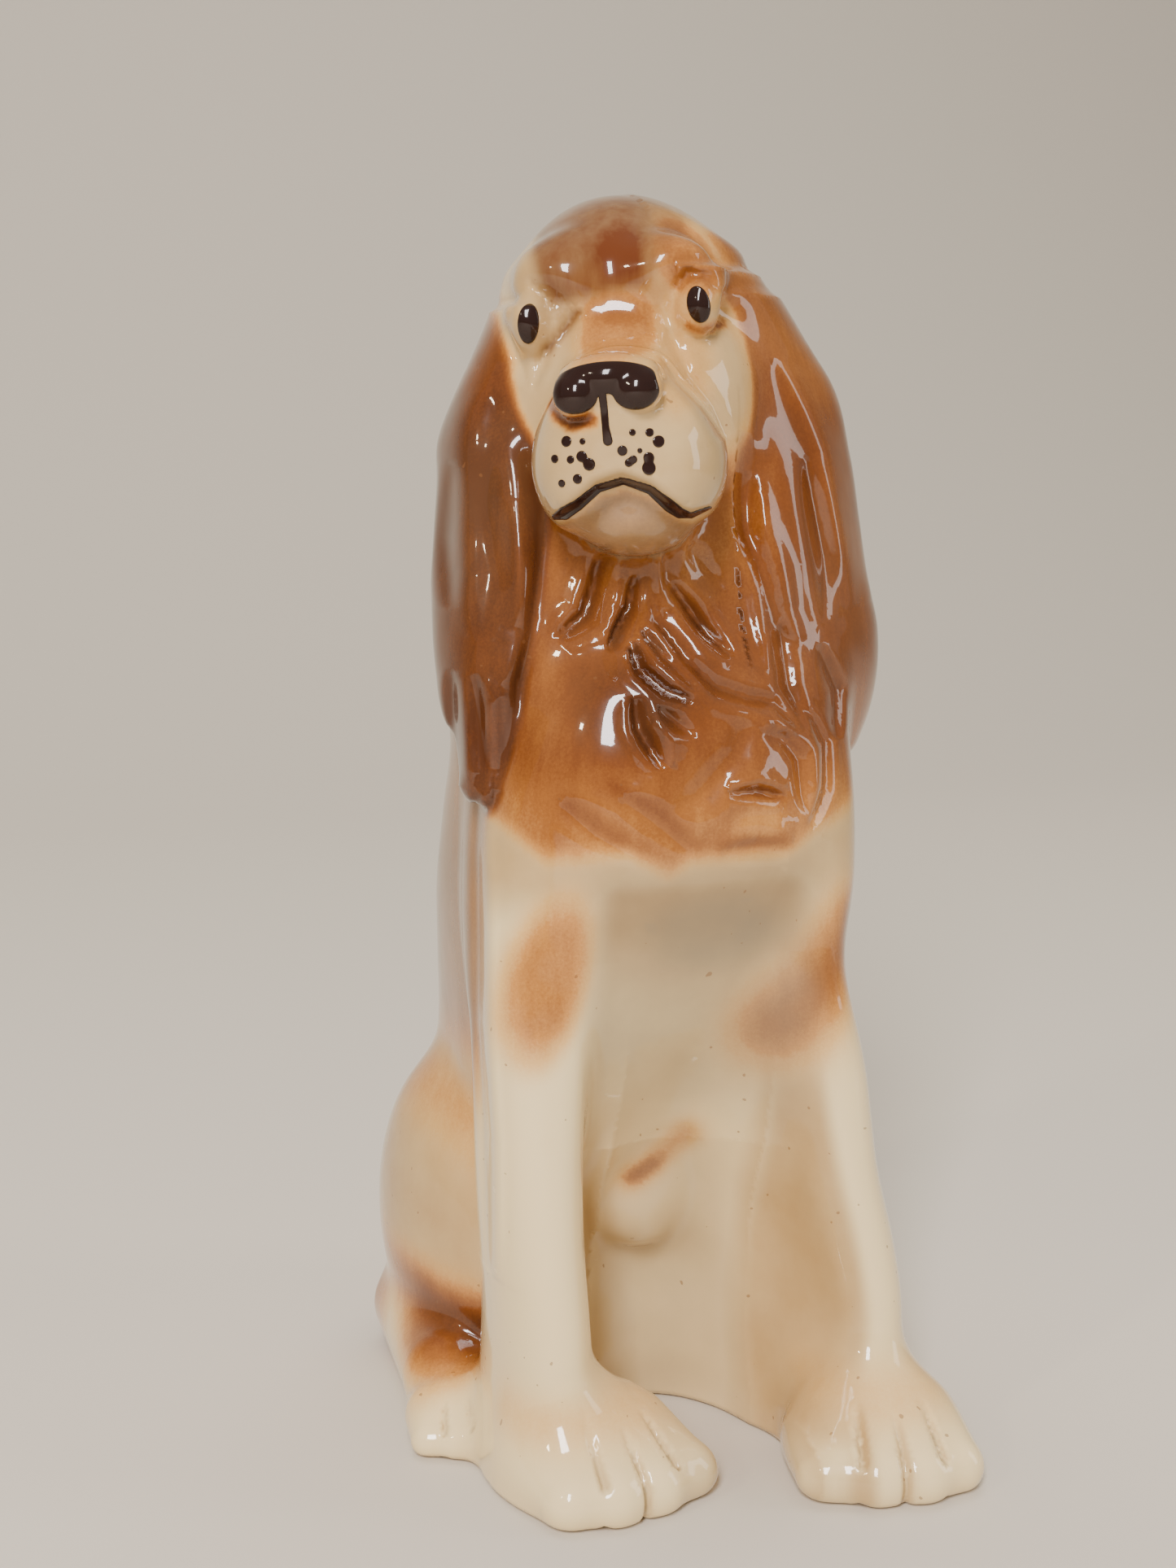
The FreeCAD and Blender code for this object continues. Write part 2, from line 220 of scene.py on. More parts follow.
FORELEG = {
    RIGHT: Column([
        (-8, -30, -27, 11, 23, 0, 2.2),
        (0, -30, -27, 11, 23, 0, 2.2),
        (14, -30.5, -28, 9.5, 21, 0, 2.2),
        (30, -31, -29, 8.8, 19.5, 0, 2.2),
        (52, -32, -28, 9, 18, 0, 2.2),
        (75, -31.5, -26, 9.5, 17, 0, 2.5),
        (95, -30, -23.5, 10.5, 17.5, 0, 2.9),
        (115, -27.5, -21, 11, 18, 0, 3.0),
        (135, -24, -17, 11, 17, 0, 2.8),
        (150, -20, -12, 9, 14, 0, 2.5),
    ], cap=8),
    LEFT: Column([
        (-8, 30, -28, 10.5, 23, 0, 2.2),
        (0, 30, -28, 10.5, 23, 0, 2.2),
        (14, 31, -29, 9.5, 21, 0, 2.2),
        (30, 32, -29.5, 9, 19.5, 0, 2.2),
        (42, 30.3, -29, 9.2, 18.5, 0, 2.2),
        (54, 27.8, -28, 9.2, 18, 0, 2.2),
        (75, 25.2, -26, 9.5, 17, 0, 2.4),
        (98, 21, -23.5, 9.5, 17, 0, 2.5),
        (115, 21.5, -20, 10.5, 17, 0, 2.6),
        (135, 21, -16, 10.5, 16, 0, 2.6),
        (150, 18, -12, 9, 14, 0, 2.5),
    ], cap=8),
}
PAW = {RIGHT: ((-24, -38.5, 0), 14), LEFT: ((31.3, -47.3, 0), -8)}
# Side, fan and reach of each toe, and the furrows between them: where they start and end.
TOES = ((-10.6, -10, 14.0), (-3.8, -4, 17), (3.8, 4, 17), (10.6, 10, 14.0))
FURROWS = (((-6.2, -9), (-7.6, -19)), ((0.0, -12), (0.0, -23)), ((6.2, -9), (7.6, -19)))


def paw_form(p, centre, turn, size=1.0):
    """A paw in its own axes: side, back, up. Four soft toes fan out from one pad."""
    local = (p - np.array(centre, float)) @ turned(turn) / size
    field = ellipsoid(local, (0, 1, 3.5), (15.5, 19, 15.5))
    toes = None
    for side, fan, reach in TOES:
        spread = math.radians(fan)
        knuckle = (side * 0.8, -reach * 0.15, 7.5)
        tip = (side + math.sin(spread) * reach * 0.5, -reach, 4.4)
        toe = capsule(local, knuckle, tip, 6.6, 5.4)
        toes = toe if toes is None else smooth_union(toes, toe, 3.6)
    field = smooth_union(field, toes, 7.0)
    for start, end in FURROWS:
        distance, _, share = stroke(local[:, :2], (start, end))
        field = field + 0.95 * np.exp(-(distance / 0.8) ** 2) * np.clip(2.2 * share, 0.0, 1.0)
    return field * size


# The web of clay that joins the left foreleg to the belly.
WEB = Column([
    (-8, 22.3, -21, 8.5, 20, 20, 2),
    (0, 22.3, -21, 8.5, 20, 20, 2),
    (30, 22.5, -20, 8, 18, 20, 2),
    (60, 22, -19, 7, 15, 20, 2),
    (90, 21, -18, 4, 11, 20, 2),
], cap=8)


def foreleg_form(p, side):
    centre, turn = PAW[side]
    field = smooth_union(FORELEG[side](p), paw_form(p, centre, turn), 9)
    return smooth_union(field, WEB(p), 6) if side == LEFT else field


def hind_leg_form(p, side):
    lean = turned(-6 * side)
    haunch = ellipsoid(p, (29.5 * side, 21, 34), (18, 31, 35.5), lean)
    shank = capsule(p, (37.5 * side, 36, 9), (41 * side, 0, 8), 10, 9)
    foot = paw_form(p, (41.3 * side, -10.5, 0), 4 * side, 0.64)
    field = smooth_union(haunch, shank, 5)
    return smooth_union(field, foot, 4)


def tail_form(p):
    stops = [(-6, 60, 12, 8), (8, 61, 9, 8), (22, 57, 8, 7.5), (35, 49, 7, 6), (41, 41, 6, 4)]
    return chain(p, stops)


# -------- head and ears

HEAD_AXIS = np.array((-3.0, -3.0, 205.0))
HEAD_TURN, HEAD_ROLL = -24.0, 4.0


def head_axes():
    """Columns: the head's own left, back and up, after it turns and rolls."""
    roll = math.radians(HEAD_ROLL)
    rolled = np.array(((math.cos(roll), 0, math.sin(roll)), (0, 1, 0),
                       (-math.sin(roll), 0, math.cos(roll)))).T
    return turned(HEAD_TURN) @ rolled


HEAD_AXES = head_axes()


def to_head(p):
    """Head coordinates: left, forward, and height with 205 at the head's pivot."""
    local = (p - HEAD_AXIS) @ HEAD_AXES
    return np.stack((local[:, 0], -local[:, 1], local[:, 2] + 205.0), axis=1)


def from_head(q):
    q = np.atleast_2d(np.array(q, float))
    local = np.stack((q[:, 0], -q[:, 1], q[:, 2] - 205.0), axis=1)
    return local @ HEAD_AXES.T + HEAD_AXIS


# On the face, every place is (left, height) in head coordinates.
EYES = {RIGHT: (-15.6, 26.0, 216.1), LEFT: (15.2, 26.0, 217.2)}
MOUTH = [(-11, 181.8, 0.5), (-8.8, 182.4, 1.15), (-6, 183.8, 0.95), (-2.3, 186.4, 0.75), (2, 187.4, 0.7),
         (6.5, 185.6, 0.9), (9.6, 182.6, 1.25), (11, 181.3, 1.1), (12.8, 180.6, 0.6), (16, 181.6, 0.3)]


def head_form(p):
    q = to_head(p)
    skull = ellipsoid(q, (-1.2, -2, 208), (21.5, 30.5, 28))
    crown = ellipsoid(q, (-1.4, -1, 225), (17.6, 25, 15))
    skull = smooth_union(skull, crown, 6)
    for side in (RIGHT, LEFT):
        cheek = ellipsoid(q, (12.5 * side, 12, 200), (10.5, 15, 15))
        skull = smooth_union(skull, cheek, 8)
        brow = ellipsoid(q, (9.8 * side, 22, 224), (7.8, 6.5, 6))
        skull = smooth_union(skull, brow, 7)
    muzzle = ellipsoid(q, (1.5, 34, 195.5), (14.5, 25.5, 14))
    bridge = ellipsoid(q, (0.5, 36, 203), (9, 24, 6.5))
    muzzle = smooth_union(muzzle, bridge, 5)
    for side in (RIGHT, LEFT):
        flew = ellipsoid(q, (7.6 * side + 2.2, 39.5, 189.5), (9.5, 18, 12))
        muzzle = smooth_union(muzzle, flew, 5)
    jaw = ellipsoid(q, (2.5, 35, 181.5), (11, 17, 8))
    muzzle = smooth_union(muzzle, jaw, 2.0)
    field = smooth_union(skull, muzzle, np.interp(q[:, 2], (190, 204, 214), (2.5, 5, 11)))
    for side in (RIGHT, LEFT):
        eye = np.array(EYES[side])
        socket = ellipsoid(q, eye + (side, 2.6, 0), (6.5, 5.0, 6.4))
        field = smooth_cut(field, -socket, 6)
        lids = ellipsoid(q, eye + (-0.7 * side, -2.2, 0), (4.2, 4.4, 6.0))
        field = smooth_union(field, lids, 2.5)
        ball = ellipsoid(q, eye + (0, -1.2, 0), (2.9, 4.4, 4.2))
        field = smooth_union(field, ball, 0.8)
    nose = ellipsoid(q, (0.5, 54, 205), (8.6, 7.2, 4.2))
    field = smooth_union(field, nose, 2.5)
    for side in (RIGHT, LEFT):
        lobe = ellipsoid(q, (0.5 + 5.1 * side, 57.2, 202.3), (4.1, 4.4, 4.0))
        field = smooth_union(field, lobe, 1.0)
    return field


EAR_COLUMN = {
    RIGHT: Column([
        (127, -40, -22, 2.2, 4, 10, 2),
        (137, -37.8, -18, 4.5, 9, 10, 2),
        (151, -37.3, -14, 6.0, 13.5, 10, 2),
        (163, -36, -11, 6.7, 15.5, 10, 2.1),
        (176, -34, -8, 6.8, 17, 10, 2.2),
        (186, -33, -6, 7.4, 16.5, 7, 2.2),
        (194, -32.8, -4, 7.6, 15, 4, 2.2),
        (201, -31, -2, 7.2, 13, -3, 2.1),
        (209, -27.5, 0, 6.0, 10.5, -10, 2),
        (219, -17.5, 2, 4, 8, -20, 2),
    ], cap=4),
    LEFT: Column([
        (131, 34.8, -14, 3.2, 6.5, -50, 2),
        (142, 34, -15, 6.2, 13.5, -50, 2.2),
        (157, 31.2, -17, 7.5, 19, -50, 2.3),
        (168, 28.3, -17, 7.5, 19.5, -50, 2.3),
        (178, 27.2, -16, 7.5, 19, -50, 2.3),
        (191, 27, -14, 7, 17, -50, 2.2),
        (207, 26, -10, 5.8, 13.5, -48, 2),
        (217, 20.5, -8, 4.5, 10, -42, 2),
        (226, 10, -6, 3, 6, -35, 2),
    ], cap=4),
}

# Folds and furrows that run down the ears: stops (across, height) seen from the quarter,
# width, depth and step. A negative depth is a ridge.
EAR_LOCKS = {
    RIGHT: [
        ([(-27, 203), (-28.3, 194), (-28.6, 182), (-27.5, 170), (-29, 158)], 3.0, 1.5, 0.0),
        ([(-24, 184), (-22.8, 170), (-22.2, 160), (-25.5, 150)], 1.8, -0.9, 0.5),
        ([(-35.5, 190), (-36.8, 176), (-35.8, 163)], 2.2, 0.9, 0.0),
        ([(-35.6, 152), (-35.2, 141), (-34.5, 131)], 1.5, 1.3, 0.0),
        ([(-31, 152), (-30, 141), (-29.5, 130)], 1.5, 1.3, 0.0),
        ([(-26, 148), (-26.5, 139), (-28, 131)], 1.4, 0.9, 0.0),
    ],
    LEFT: [
        ([(25.6, 209.5), (30.7, 199.3), (34.1, 191.7), (36.7, 180.6), (39.2, 170.4), (40.4, 162)],
         2.4, -1.0, 0.6),
        ([(21.4, 188.3), (22.3, 178.9), (24.8, 170.4), (26.5, 162), (29.5, 156.9)], 2.0, -1.2, 0.6),
        ([(13.8, 178.1), (18, 173.8), (20.6, 166.2), (22.3, 156.9), (22.6, 152.6)], 1.7, -1.1, 0.5),
        ([(30.5, 191), (32, 183), (34, 172), (34.5, 160)], 1.8, 1.1, 0.0),
        ([(25.5, 160), (26.5, 149), (30, 141)], 1.6, 1.2, 0.0),
        ([(33, 156), (36.5, 147), (36.5, 138)], 1.6, 1.1, 0.0),
        ([(18.5, 196), (18, 184), (19, 172)], 2.0, 0.9, 0.0),
    ],
}
EAR_REACH = {RIGHT: -8.0, LEFT: 8.0}


def ear_form(p, side):
    return EAR_COLUMN[side](p)


# -------- fur pressed into the clay


CHEST_LOCKS = [
    # stops (side, height), width, depth, step
    ([(-17.6, 174), (-18.6, 168), (-20.5, 162.5), (-26, 158.2)], 1.5, 2.2, 0.5),
    ([(-12, 170), (-13, 164), (-18, 156.5)], 1.2, 1.7, 0.4),
    ([(-8.8, 174), (-8.3, 169), (-7, 163)], 1.4, -1.1, 0.0),
    ([(-5.2, 168.5), (-2, 163.5), (1, 159), (4.6, 155)], 1.5, 2.0, -0.4),
    ([(-1.4, 175.5), (1.5, 170.5), (5, 166.5)], 2.0, 1.1, 0.0),
    ([(-12, 160.5), (-8.6, 155), (-4, 149.6)], 1.2, 1.4, -0.3),
    ([(-14, 158.5), (-13.4, 153.4), (-9.8, 149.8), (-5.5, 148)], 1.2, 1.8, 0.4),
    ([(-9.2, 162.5), (-4.8, 154.3), (0, 149.8), (6.3, 147.6), (11.7, 146.6), (16.5, 142)], 1.5, 1.6, -0.8),
    ([(-15.3, 149), (-14.8, 143.3), (-11.4, 136)], 1.4, 2.2, 0.6),
    ([(-12, 147), (-9, 144.3), (-5.5, 141.8)], 1.3, 1.3, -0.4),
    ([(7.5, 142), (13, 140.3), (16.6, 136.5), (17, 130), (18, 126)], 1.5, 1.1, 0.6),
    ([(19.5, 145), (24, 138), (23, 130), (18.5, 123.5)], 1.6, 1.0, -0.5),
    ([(0.5, 131.4), (6.3, 131.5), (12.6, 129.8)], 1.2, 1.6, 0.6),
    ([(-0.5, 120.4), (6.5, 121.2), (14, 119.3)], 1.8, 0.8, 0.4),
    ([(-29, 130), (-23, 125), (-16, 120.5)], 2.0, 0.7, 0.3),
    ([(-19, 131), (-12, 126.5), (-6, 121)], 2.0, 0.7, 0.3),
    ([(6, 146), (3.5, 138), (-4, 131), (-10, 128.6)], 2.4, 0.9, 0.9),
]

# Creases of the face in (left, height) head coordinates.
FACE_LOCKS = [
    ([stop[:2] for stop in MOUTH], 1.1, 0.7, 0.9),
    ([(9.0, 213.5), (12.2, 204.9), (16.1, 199.5), (18.6, 193)], 1.3, 0.9, -0.3),
    ([(10.4, 216), (11.4, 220.4), (13.8, 222.8), (16.6, 222.4), (19, 219)], 0.9, 0.4, 0.15),
    ([(12, 213.6), (14.6, 211.6), (17.8, 212.6)], 0.9, 0.35, 0.1),
    ([(-15.6, 224), (-12.6, 220.5), (-11.9, 216.5), (-13.4, 210.5), (-16, 204)], 1.0, 0.55, 0.2),
    ([(-18, 222), (-19.6, 216), (-18.8, 210.5), (-16.8, 205)], 1.0, 0.35, 0.1),
    ([(-6.4, 218), (-9.5, 214.5), (-13, 210.5)], 1.4, 0.4, 0.0),
    ([(-9.6, 199.8), (-6.5, 197.6), (-2.4, 197.9)], 0.9, 0.5, 0.3),
]

# The edge where the shoulder stands proud of the flank, seen from the quarter.
SHOULDER = ([(-30.4, 134), (-30.9, 118), (-30.5, 103), (-30.5, 86), (-29.2, 67), (-29, 40)], 1.4, 1.2, 1.1)


def fur(p):
    press = np.zeros(len(p))
    front = p[:, 1] < -12
    flat = p[front][:, (0, 2)]
    for stops, width, depth, step in CHEST_LOCKS:
        press[front] += lock(flat, stops, width, depth, step)
    flat, depth_back = seen_from_quarter(p)
    for side, locks in EAR_LOCKS.items():
        on_ear = (p[:, 0] * side > 8) & (p[:, 2] > 125) & (p[:, 2] < 214) & (depth_back < EAR_REACH[side])
        fade = np.clip((EAR_REACH[side] - depth_back[on_ear]) / 5.0, 0.0, 1.0)
        for stops, width, depth, step in locks:
            press[on_ear] += fade * lock(flat[on_ear], stops, width, depth, step)
    flank = (p[:, 0] < -20) & (p[:, 2] > 30) & (p[:, 2] < 140) & (depth_back < -5)
    press[flank] += np.clip((-5 - depth_back[flank]) / 12.0, 0.0, 1.0) * lock(flat[flank], *SHOULDER)
    face = (p[:, 2] > 172) & (p[:, 1] < -8)
    q = to_head(p[face])
    fade = np.clip((q[:, 1] - 16.0) / 5.0, 0.0, 1.0)
    for stops, width, depth, step in FACE_LOCKS:
        press[face] += fade * lock(q[:, (0, 2)], stops, width, depth, step)
    return press


# -------- the whole dog

# The height of the face it rests on, and the distance that stands for "nowhere near".
SEAT = 0.0
FAR = 60.0
# Each casting's form, and the box beyond which it is too far off to matter.
CASTINGS = {
    "body_shell": (body_form, (-70, -70, -40), (70, 90, 240)),
    "head_shell": (head_form, (-60, -90, 150), (60, 60, 270)),
    "left_ear": (lambda p: ear_form(p, LEFT), (-5, -60, 105), (75, 40, 250)),
    "right_ear": (lambda p: ear_form(p, RIGHT), (-70, -55, 100), (10, 45, 250)),
    "left_foreleg": (lambda p: foreleg_form(p, LEFT), (-30, -95, -40), (80, 30, 175)),
    "right_foreleg": (lambda p: foreleg_form(p, RIGHT), (-70, -90, -40), (40, 30, 175)),
    "left_hind_leg": (lambda p: hind_leg_form(p, LEFT), (-5, -45, -40), (80, 80, 95)),
    "right_hind_leg": (lambda p: hind_leg_form(p, RIGHT), (-80, -45, -40), (5, 80, 95)),
    "tail": (tail_form, (-35, 20, -30), (75, 95, 45)),
}


def castings(p):
    """One field for each casting, before they are luted together."""
    fields = {}
    for name, (form, low, high) in CASTINGS.items():
        near = ((p > low) & (p < high)).all(1)
        fields[name] = np.full(len(p), FAR)
        fields[name][near] = form(p[near])
    return fields


def dog(p, parts=None):
    """The glazed surface: every casting luted to its neighbours, fur and all."""
    f = castings(p) if parts is None else parts
    height = p[:, 2]
    field = f["body_shell"]
    inner = np.interp(np.abs(p[:, 0]), (14, 30), (1.0, 0.0)) * np.interp(height, (60, 100), (1.0, 0.0))
    for side in ("left", "right"):
        field = smooth_union(field, f[f"{side}_hind_leg"], 5)
        field = smooth_union(field, f[f"{side}_foreleg"], 6 + 22 * inner)
    field = smooth_union(field, f["tail"], 3)
    field = smooth_union(field, f["head_shell"], 8)
    ear_blend = np.interp(height, (130, 190, 208, 222), (1.5, 2.5, 8, 18))
    for side in ("left", "right"):
        field = smooth_union(field, f[f"{side}_ear"], ear_blend)
    field = field + fur(p)
    return smooth_cut(field, SEAT - height, 1.6)


def slope(field, p, step=0.15):
    """Gradient of a field by central differences."""
    gradient = np.empty_like(p)
    for axis in range(3):
        shift = np.zeros(3)
        shift[axis] = step
        gradient[:, axis] = (field(p + shift) - field(p - shift)) / (2 * step)
    return gradient


def outward(field, points):
    """The exact surface normals."""
    gradient = slope(field, points)
    return gradient / np.maximum(length(gradient), 1e-6)[:, None]


# -------- meshing

CORNERS = np.array([(i, j, k) for i in (0, 1) for j in (0, 1) for k in (0, 1)])
EDGES = [(a, b) for a in range(8) for b in range(a + 1, 8)
         if np.abs(CORNERS[a] - CORNERS[b]).sum() == 1]
GRID = 4096
# The deepest furrow: how far the fur can shift the surface.
FUR_DEPTH = 2.6


def key_of(cells):
    return (cells[:, 0] * GRID + cells[:, 1]) * GRID + cells[:, 2]


def near_cells(field, low, high, voxel):
    """Cells close to the surface, found by splitting large blocks again and again."""
    splits = 4
    size = voxel * splits ** 2
    counts = np.ceil((np.array(high) - low) / size).astype(int)
    cells = np.stack(np.meshgrid(*[np.arange(n) for n in counts], indexing="ij"), -1).reshape(-1, 3)
    child = np.stack(np.meshgrid(*[np.arange(splits)] * 3, indexing="ij"), -1).reshape(-1, 3)
    while True:
        centres = low + (cells + 0.5) * size
        if size <= voxel * 1.01:
            return cells[np.abs(field(centres)) < size * 3.2]
        cells = cells[np.abs(field(centres)) < size * 1.05 + FUR_DEPTH]
        cells = (cells[:, None, :] * splits + child[None]).reshape(-1, 3)
        size /= splits


def surface_net(field, low, high, voxel):
    """Quads on the field's zero surface: one vertex in each crossed cell."""
    low = np.array(low, float)
    cells = near_cells(field, low, high, voxel)
    corners = (cells[:, None, :] + CORNERS[None]).reshape(-1, 3)
    _, first, inverse = np.unique(key_of(corners), return_index=True, return_inverse=True)
    values = field(low + corners[first] * voxel)
    values = np.where(np.abs(values) < 1e-9, 1e-9, values)
    values = values[inverse.reshape(-1)].reshape(-1, 8)
    crossed = (values.min(1) < 0) & (values.max(1) > 0)
    cells, values = cells[crossed], values[crossed]
    total = np.zeros((len(cells), 3))
    count = np.zeros(len(cells))
    for a, b in EDGES:
        hit = values[:, a] * values[:, b] < 0
        share = values[hit, a] / (values[hit, a] - values[hit, b])
        total[hit] += CORNERS[a] + (CORNERS[b] - CORNERS[a]) * share[:, None]
        count[hit] += 1
    points = low + (cells + total / count[:, None]) * voxel
    cell_keys = key_of(cells)
    order = np.argsort(cell_keys)
    sorted_keys = cell_keys[order]
    faces = []
    for axis in range(3):
        near = int(np.flatnonzero((CORNERS == 1 - np.eye(3, dtype=int)[axis]).all(1))[0])
        hit = np.flatnonzero(values[:, near] * values[:, 7] < 0)
        one, two = np.eye(3, dtype=int)[(axis + 1) % 3], np.eye(3, dtype=int)[(axis + 2) % 3]
        ring = [cells[hit], cells[hit] + one, cells[hit] + one + two, cells[hit] + two]
        quad = np.empty((len(hit), 4), int)
        found = np.ones(len(hit), bool)
        for column, group in enumerate(ring):
            place = np.clip(np.searchsorted(sorted_keys, key_of(group)), 0, len(sorted_keys) - 1)
            found &= sorted_keys[place] == key_of(group)
            quad[:, column] = order[place]
        flip = values[hit, near] > 0
        quad[flip] = quad[flip][:, ::-1]
        faces.append(quad[found])
    return points, np.concatenate(faces)


def add_partners(total, points, pairs):
    """Add to each vertex the places of the vertices that it is paired with."""
    for here, there in ((pairs[:, 0], pairs[:, 1]), (pairs[:, 1], pairs[:, 0])):
        for axis in range(points.shape[1]):
            total[:, axis] += np.bincount(here, points[there, axis], len(points))


def sides_of(faces):
    return [np.stack((faces[:, i], faces[:, (i + 1) % 4]), axis=1) for i in range(4)]


def neighbour_mean(points, faces):
    total = np.zeros_like(points)
    count = np.zeros(len(points))
    for side in sides_of(faces):
        add_partners(total, points, side)
        count += np.bincount(side.ravel(), minlength=len(points))
    return total / np.maximum(count, 1)[:, None]


def settle(field, points, faces, voxel, rounds):
    """Even out the vertices along the surface and pull them exactly onto it."""
    for step in range(rounds):
        gradient = slope(field, points)
        size = np.maximum(length(gradient), 0.2)
        normal = gradient / size[:, None]
        if step:
            drift = neighbour_mean(points, faces) - points
            drift -= (drift * normal).sum(1)[:, None] * normal
            points = points + drift * 0.6
        pull = np.clip(field(points) / size, -voxel, voxel)
        points = points - pull[:, None] * normal
    return points, outward(field, points)


# -------- parting into castings

WALL = 3.0


def casting_of(points, faces):
    """Which casting each face belongs to, with fair lines between them."""
    fields = castings(points)
    names = list(fields)
    stack = np.stack([fields[name] for name in names], axis=1)
    for _ in range(6):
        stack = neighbour_mean(stack, faces)
    return names, stack[faces].mean(1).argmin(1)


def fair_seams(field, points, faces, owner, rounds=8):
    """Slide the vertices on a seam until the seam is a fair curve on the surface."""
    sides = np.concatenate(sides_of(faces))
    sides.sort(axis=1)
    owners = np.tile(owner, 4)
    keys = sides[:, 0] * len(points) + sides[:, 1]
    order = np.argsort(keys, kind="stable")
    pairs = keys[order][1:] == keys[order][:-1]
    differ = owners[order][1:] != owners[order][:-1]
    seam = sides[order][1:][pairs & differ]
    degree = np.bincount(seam.ravel(), minlength=len(points))
    free = degree == 2
    for _ in range(rounds):
        total = np.zeros_like(points)
        add_partners(total, points, seam)
        points = points.copy()
        points[free] += (total[free] / 2 - points[free]) * 0.6
    moving = np.flatnonzero(free)
    gradient = slope(field, points[moving])
    size = np.maximum(length(gradient), 0.2)
    points[moving] -= (np.clip(field(points[moving]) / size, -1, 1) / size)[:, None] * gradient
    return points


def inner_wall(field, points, normals, faces, wall):
    """The slip-cast cavity: a smoothed copy of the surface, one wall further in."""
    inside, lean = points.copy(), normals.copy()
    for _ in range(12):
        inside = neighbour_mean(inside, faces)
        lean = neighbour_mean(lean, faces)
    lean /= np.maximum(length(lean), 1e-6)[:, None]
    inside = inside - lean * wall
    for _ in range(4):
        shallow = np.flatnonzero(field(inside) > -0.5 * wall)
        if not len(shallow):
            break
        gradient = slope(field, inside[shallow])
        rise = field(inside[shallow]) + 0.6 * wall
        inside[shallow] -= gradient * (rise / np.maximum(length(gradient), 0.3) ** 2)[:, None]
    return inside


def boundary_edges(faces):
    """Directed edges that only one face uses."""
    sides = np.concatenate(sides_of(faces))
    size = sides.max() + 1
    forward = sides[:, 0] * size + sides[:, 1]
    backward = sides[:, 1] * size + sides[:, 0]
    return sides[~np.isin(forward, backward)]


def add_object(name, data):
    thing = bpy.data.objects.new(name, data)
    bpy.context.scene.collection.objects.link(thing)
    return thing


def make_piece(name, points, faces, normals):
    """A mesh object in metres with its own exact normals."""
    mesh = bpy.data.meshes.new(name)
    mesh.vertices.add(len(points))
    mesh.vertices.foreach_set("co", (points * MM).astype(np.float32).ravel())
    mesh.loops.add(faces.size)
    mesh.loops.foreach_set("vertex_index", faces.astype(np.int32).ravel())
    mesh.polygons.add(len(faces))
    mesh.polygons.foreach_set("loop_start", np.arange(0, faces.size, 4, dtype=np.int32))
    mesh.polygons.foreach_set("loop_total", np.full(len(faces), 4, dtype=np.int32))
    mesh.polygons.foreach_set("use_smooth", np.ones(len(faces), dtype=bool))
    mesh.update(calc_edges=True)
    mesh.validate()
    mesh.normals_split_custom_set_from_vertices(normals)
    return add_object(name, mesh)


def paint_mask(piece, name, values):
    layer = piece.data.attributes.new(name, "FLOAT", "POINT")
    layer.data.foreach_set("value", values.astype(np.float32))


def hollow_casting(name, points, normals, faces, cavity, masks):
    """One casting: its glazed outside, its cavity, and the rim where it meets its neighbours."""
    used, compact = np.unique(faces, return_inverse=True)
    faces = compact.reshape(-1, 4)
    outside, lean = points[used], normals[used]
    inside = cavity[used]
    count = len(used)
    rim = boundary_edges(faces)
    walls = np.stack((rim[:, 1], rim[:, 0], rim[:, 0] + count, rim[:, 1] + count), axis=1)
    all_faces = np.concatenate((faces, faces[:, ::-1] + count, walls))
    piece = make_piece(name, np.concatenate((outside, inside)), all_faces,
                       np.concatenate((lean, -lean)))
    for mask, values in masks.items():
        paint_mask(piece, mask, np.concatenate((values[used], values[used])))
    return piece


# -------- enamel marks

PROUD, SUNK = 0.22, 0.45
NOSE_BAND = ((0.5, 204.7), (8.4, 2.7))
NOSE_LOBES = (((-4.6, 202.3), (3.9, 3.3)), ((5.6, 202.2), (3.9, 3.2)))
# Whisker dots on each cheek: left, height, radius. Each one spreads as it fires.
DOT_SPREAD = 1.12
DOTS = {
    RIGHT: [(-7.0, 194.7, 0.85), (-4.1, 194.5, 0.5), (-9.3, 191.9, 0.65), (-6.4, 191.6, 0.62),
            (-4.4, 192.0, 0.85), (-3.2, 190.6, 0.95), (-8.3, 187.7, 0.6), (-5.4, 188.3, 0.75)],
    LEFT: [(4.5, 195.4, 0.52), (2.6, 192.5, 0.78), (7.3, 195.2, 0.65), (8.7, 193.6, 0.9),
           (5.5, 192.3, 0.4), (3.5, 190.4, 0.62), (4.3, 190.9, 0.62), (6.9, 191.0, 0.85), (6.8, 189.3, 1.05)],
}
PHILTRUM = [(0.0, 202.4, 0.7), (0.1, 196.5, 0.65), (0.3, 194.3, 0.85)]


def flat_ellipse(flat, centre, radii, tilt=0.0):
    angle = math.radians(tilt)
    local = flat - np.array(centre, float)
    turned_local = np.stack((local[:, 0] * math.cos(angle) + local[:, 1] * math.sin(angle),
                             local[:, 1] * math.cos(angle) - local[:, 0] * math.sin(angle)), axis=1)
    return (length(turned_local / np.array(radii, float)) - 1.0) * min(radii)


def brush(flat, stops):
    """A painted stroke whose half width changes from stop to stop."""
    stops = np.array(stops, float)
    field = np.full(len(flat), 1e3)
    for one, two in zip(stops, stops[1:]):
        along = two[:2] - one[:2]
        local = flat - one[:2]
        share = np.clip(local @ along / (along @ along), 0.0, 1.0)
        radius = one[2] + (two[2] - one[2]) * share
        field = np.minimum(field, length(local - share[:, None] * along) - radius)
    return field


def eye_shape(side):
    centre = (EYES[side][0], EYES[side][2])
    radii = (1.95, 3.6) if side == RIGHT else (2.1, 3.3)
    return lambda flat: flat_ellipse(flat, centre, radii, 8 * side)


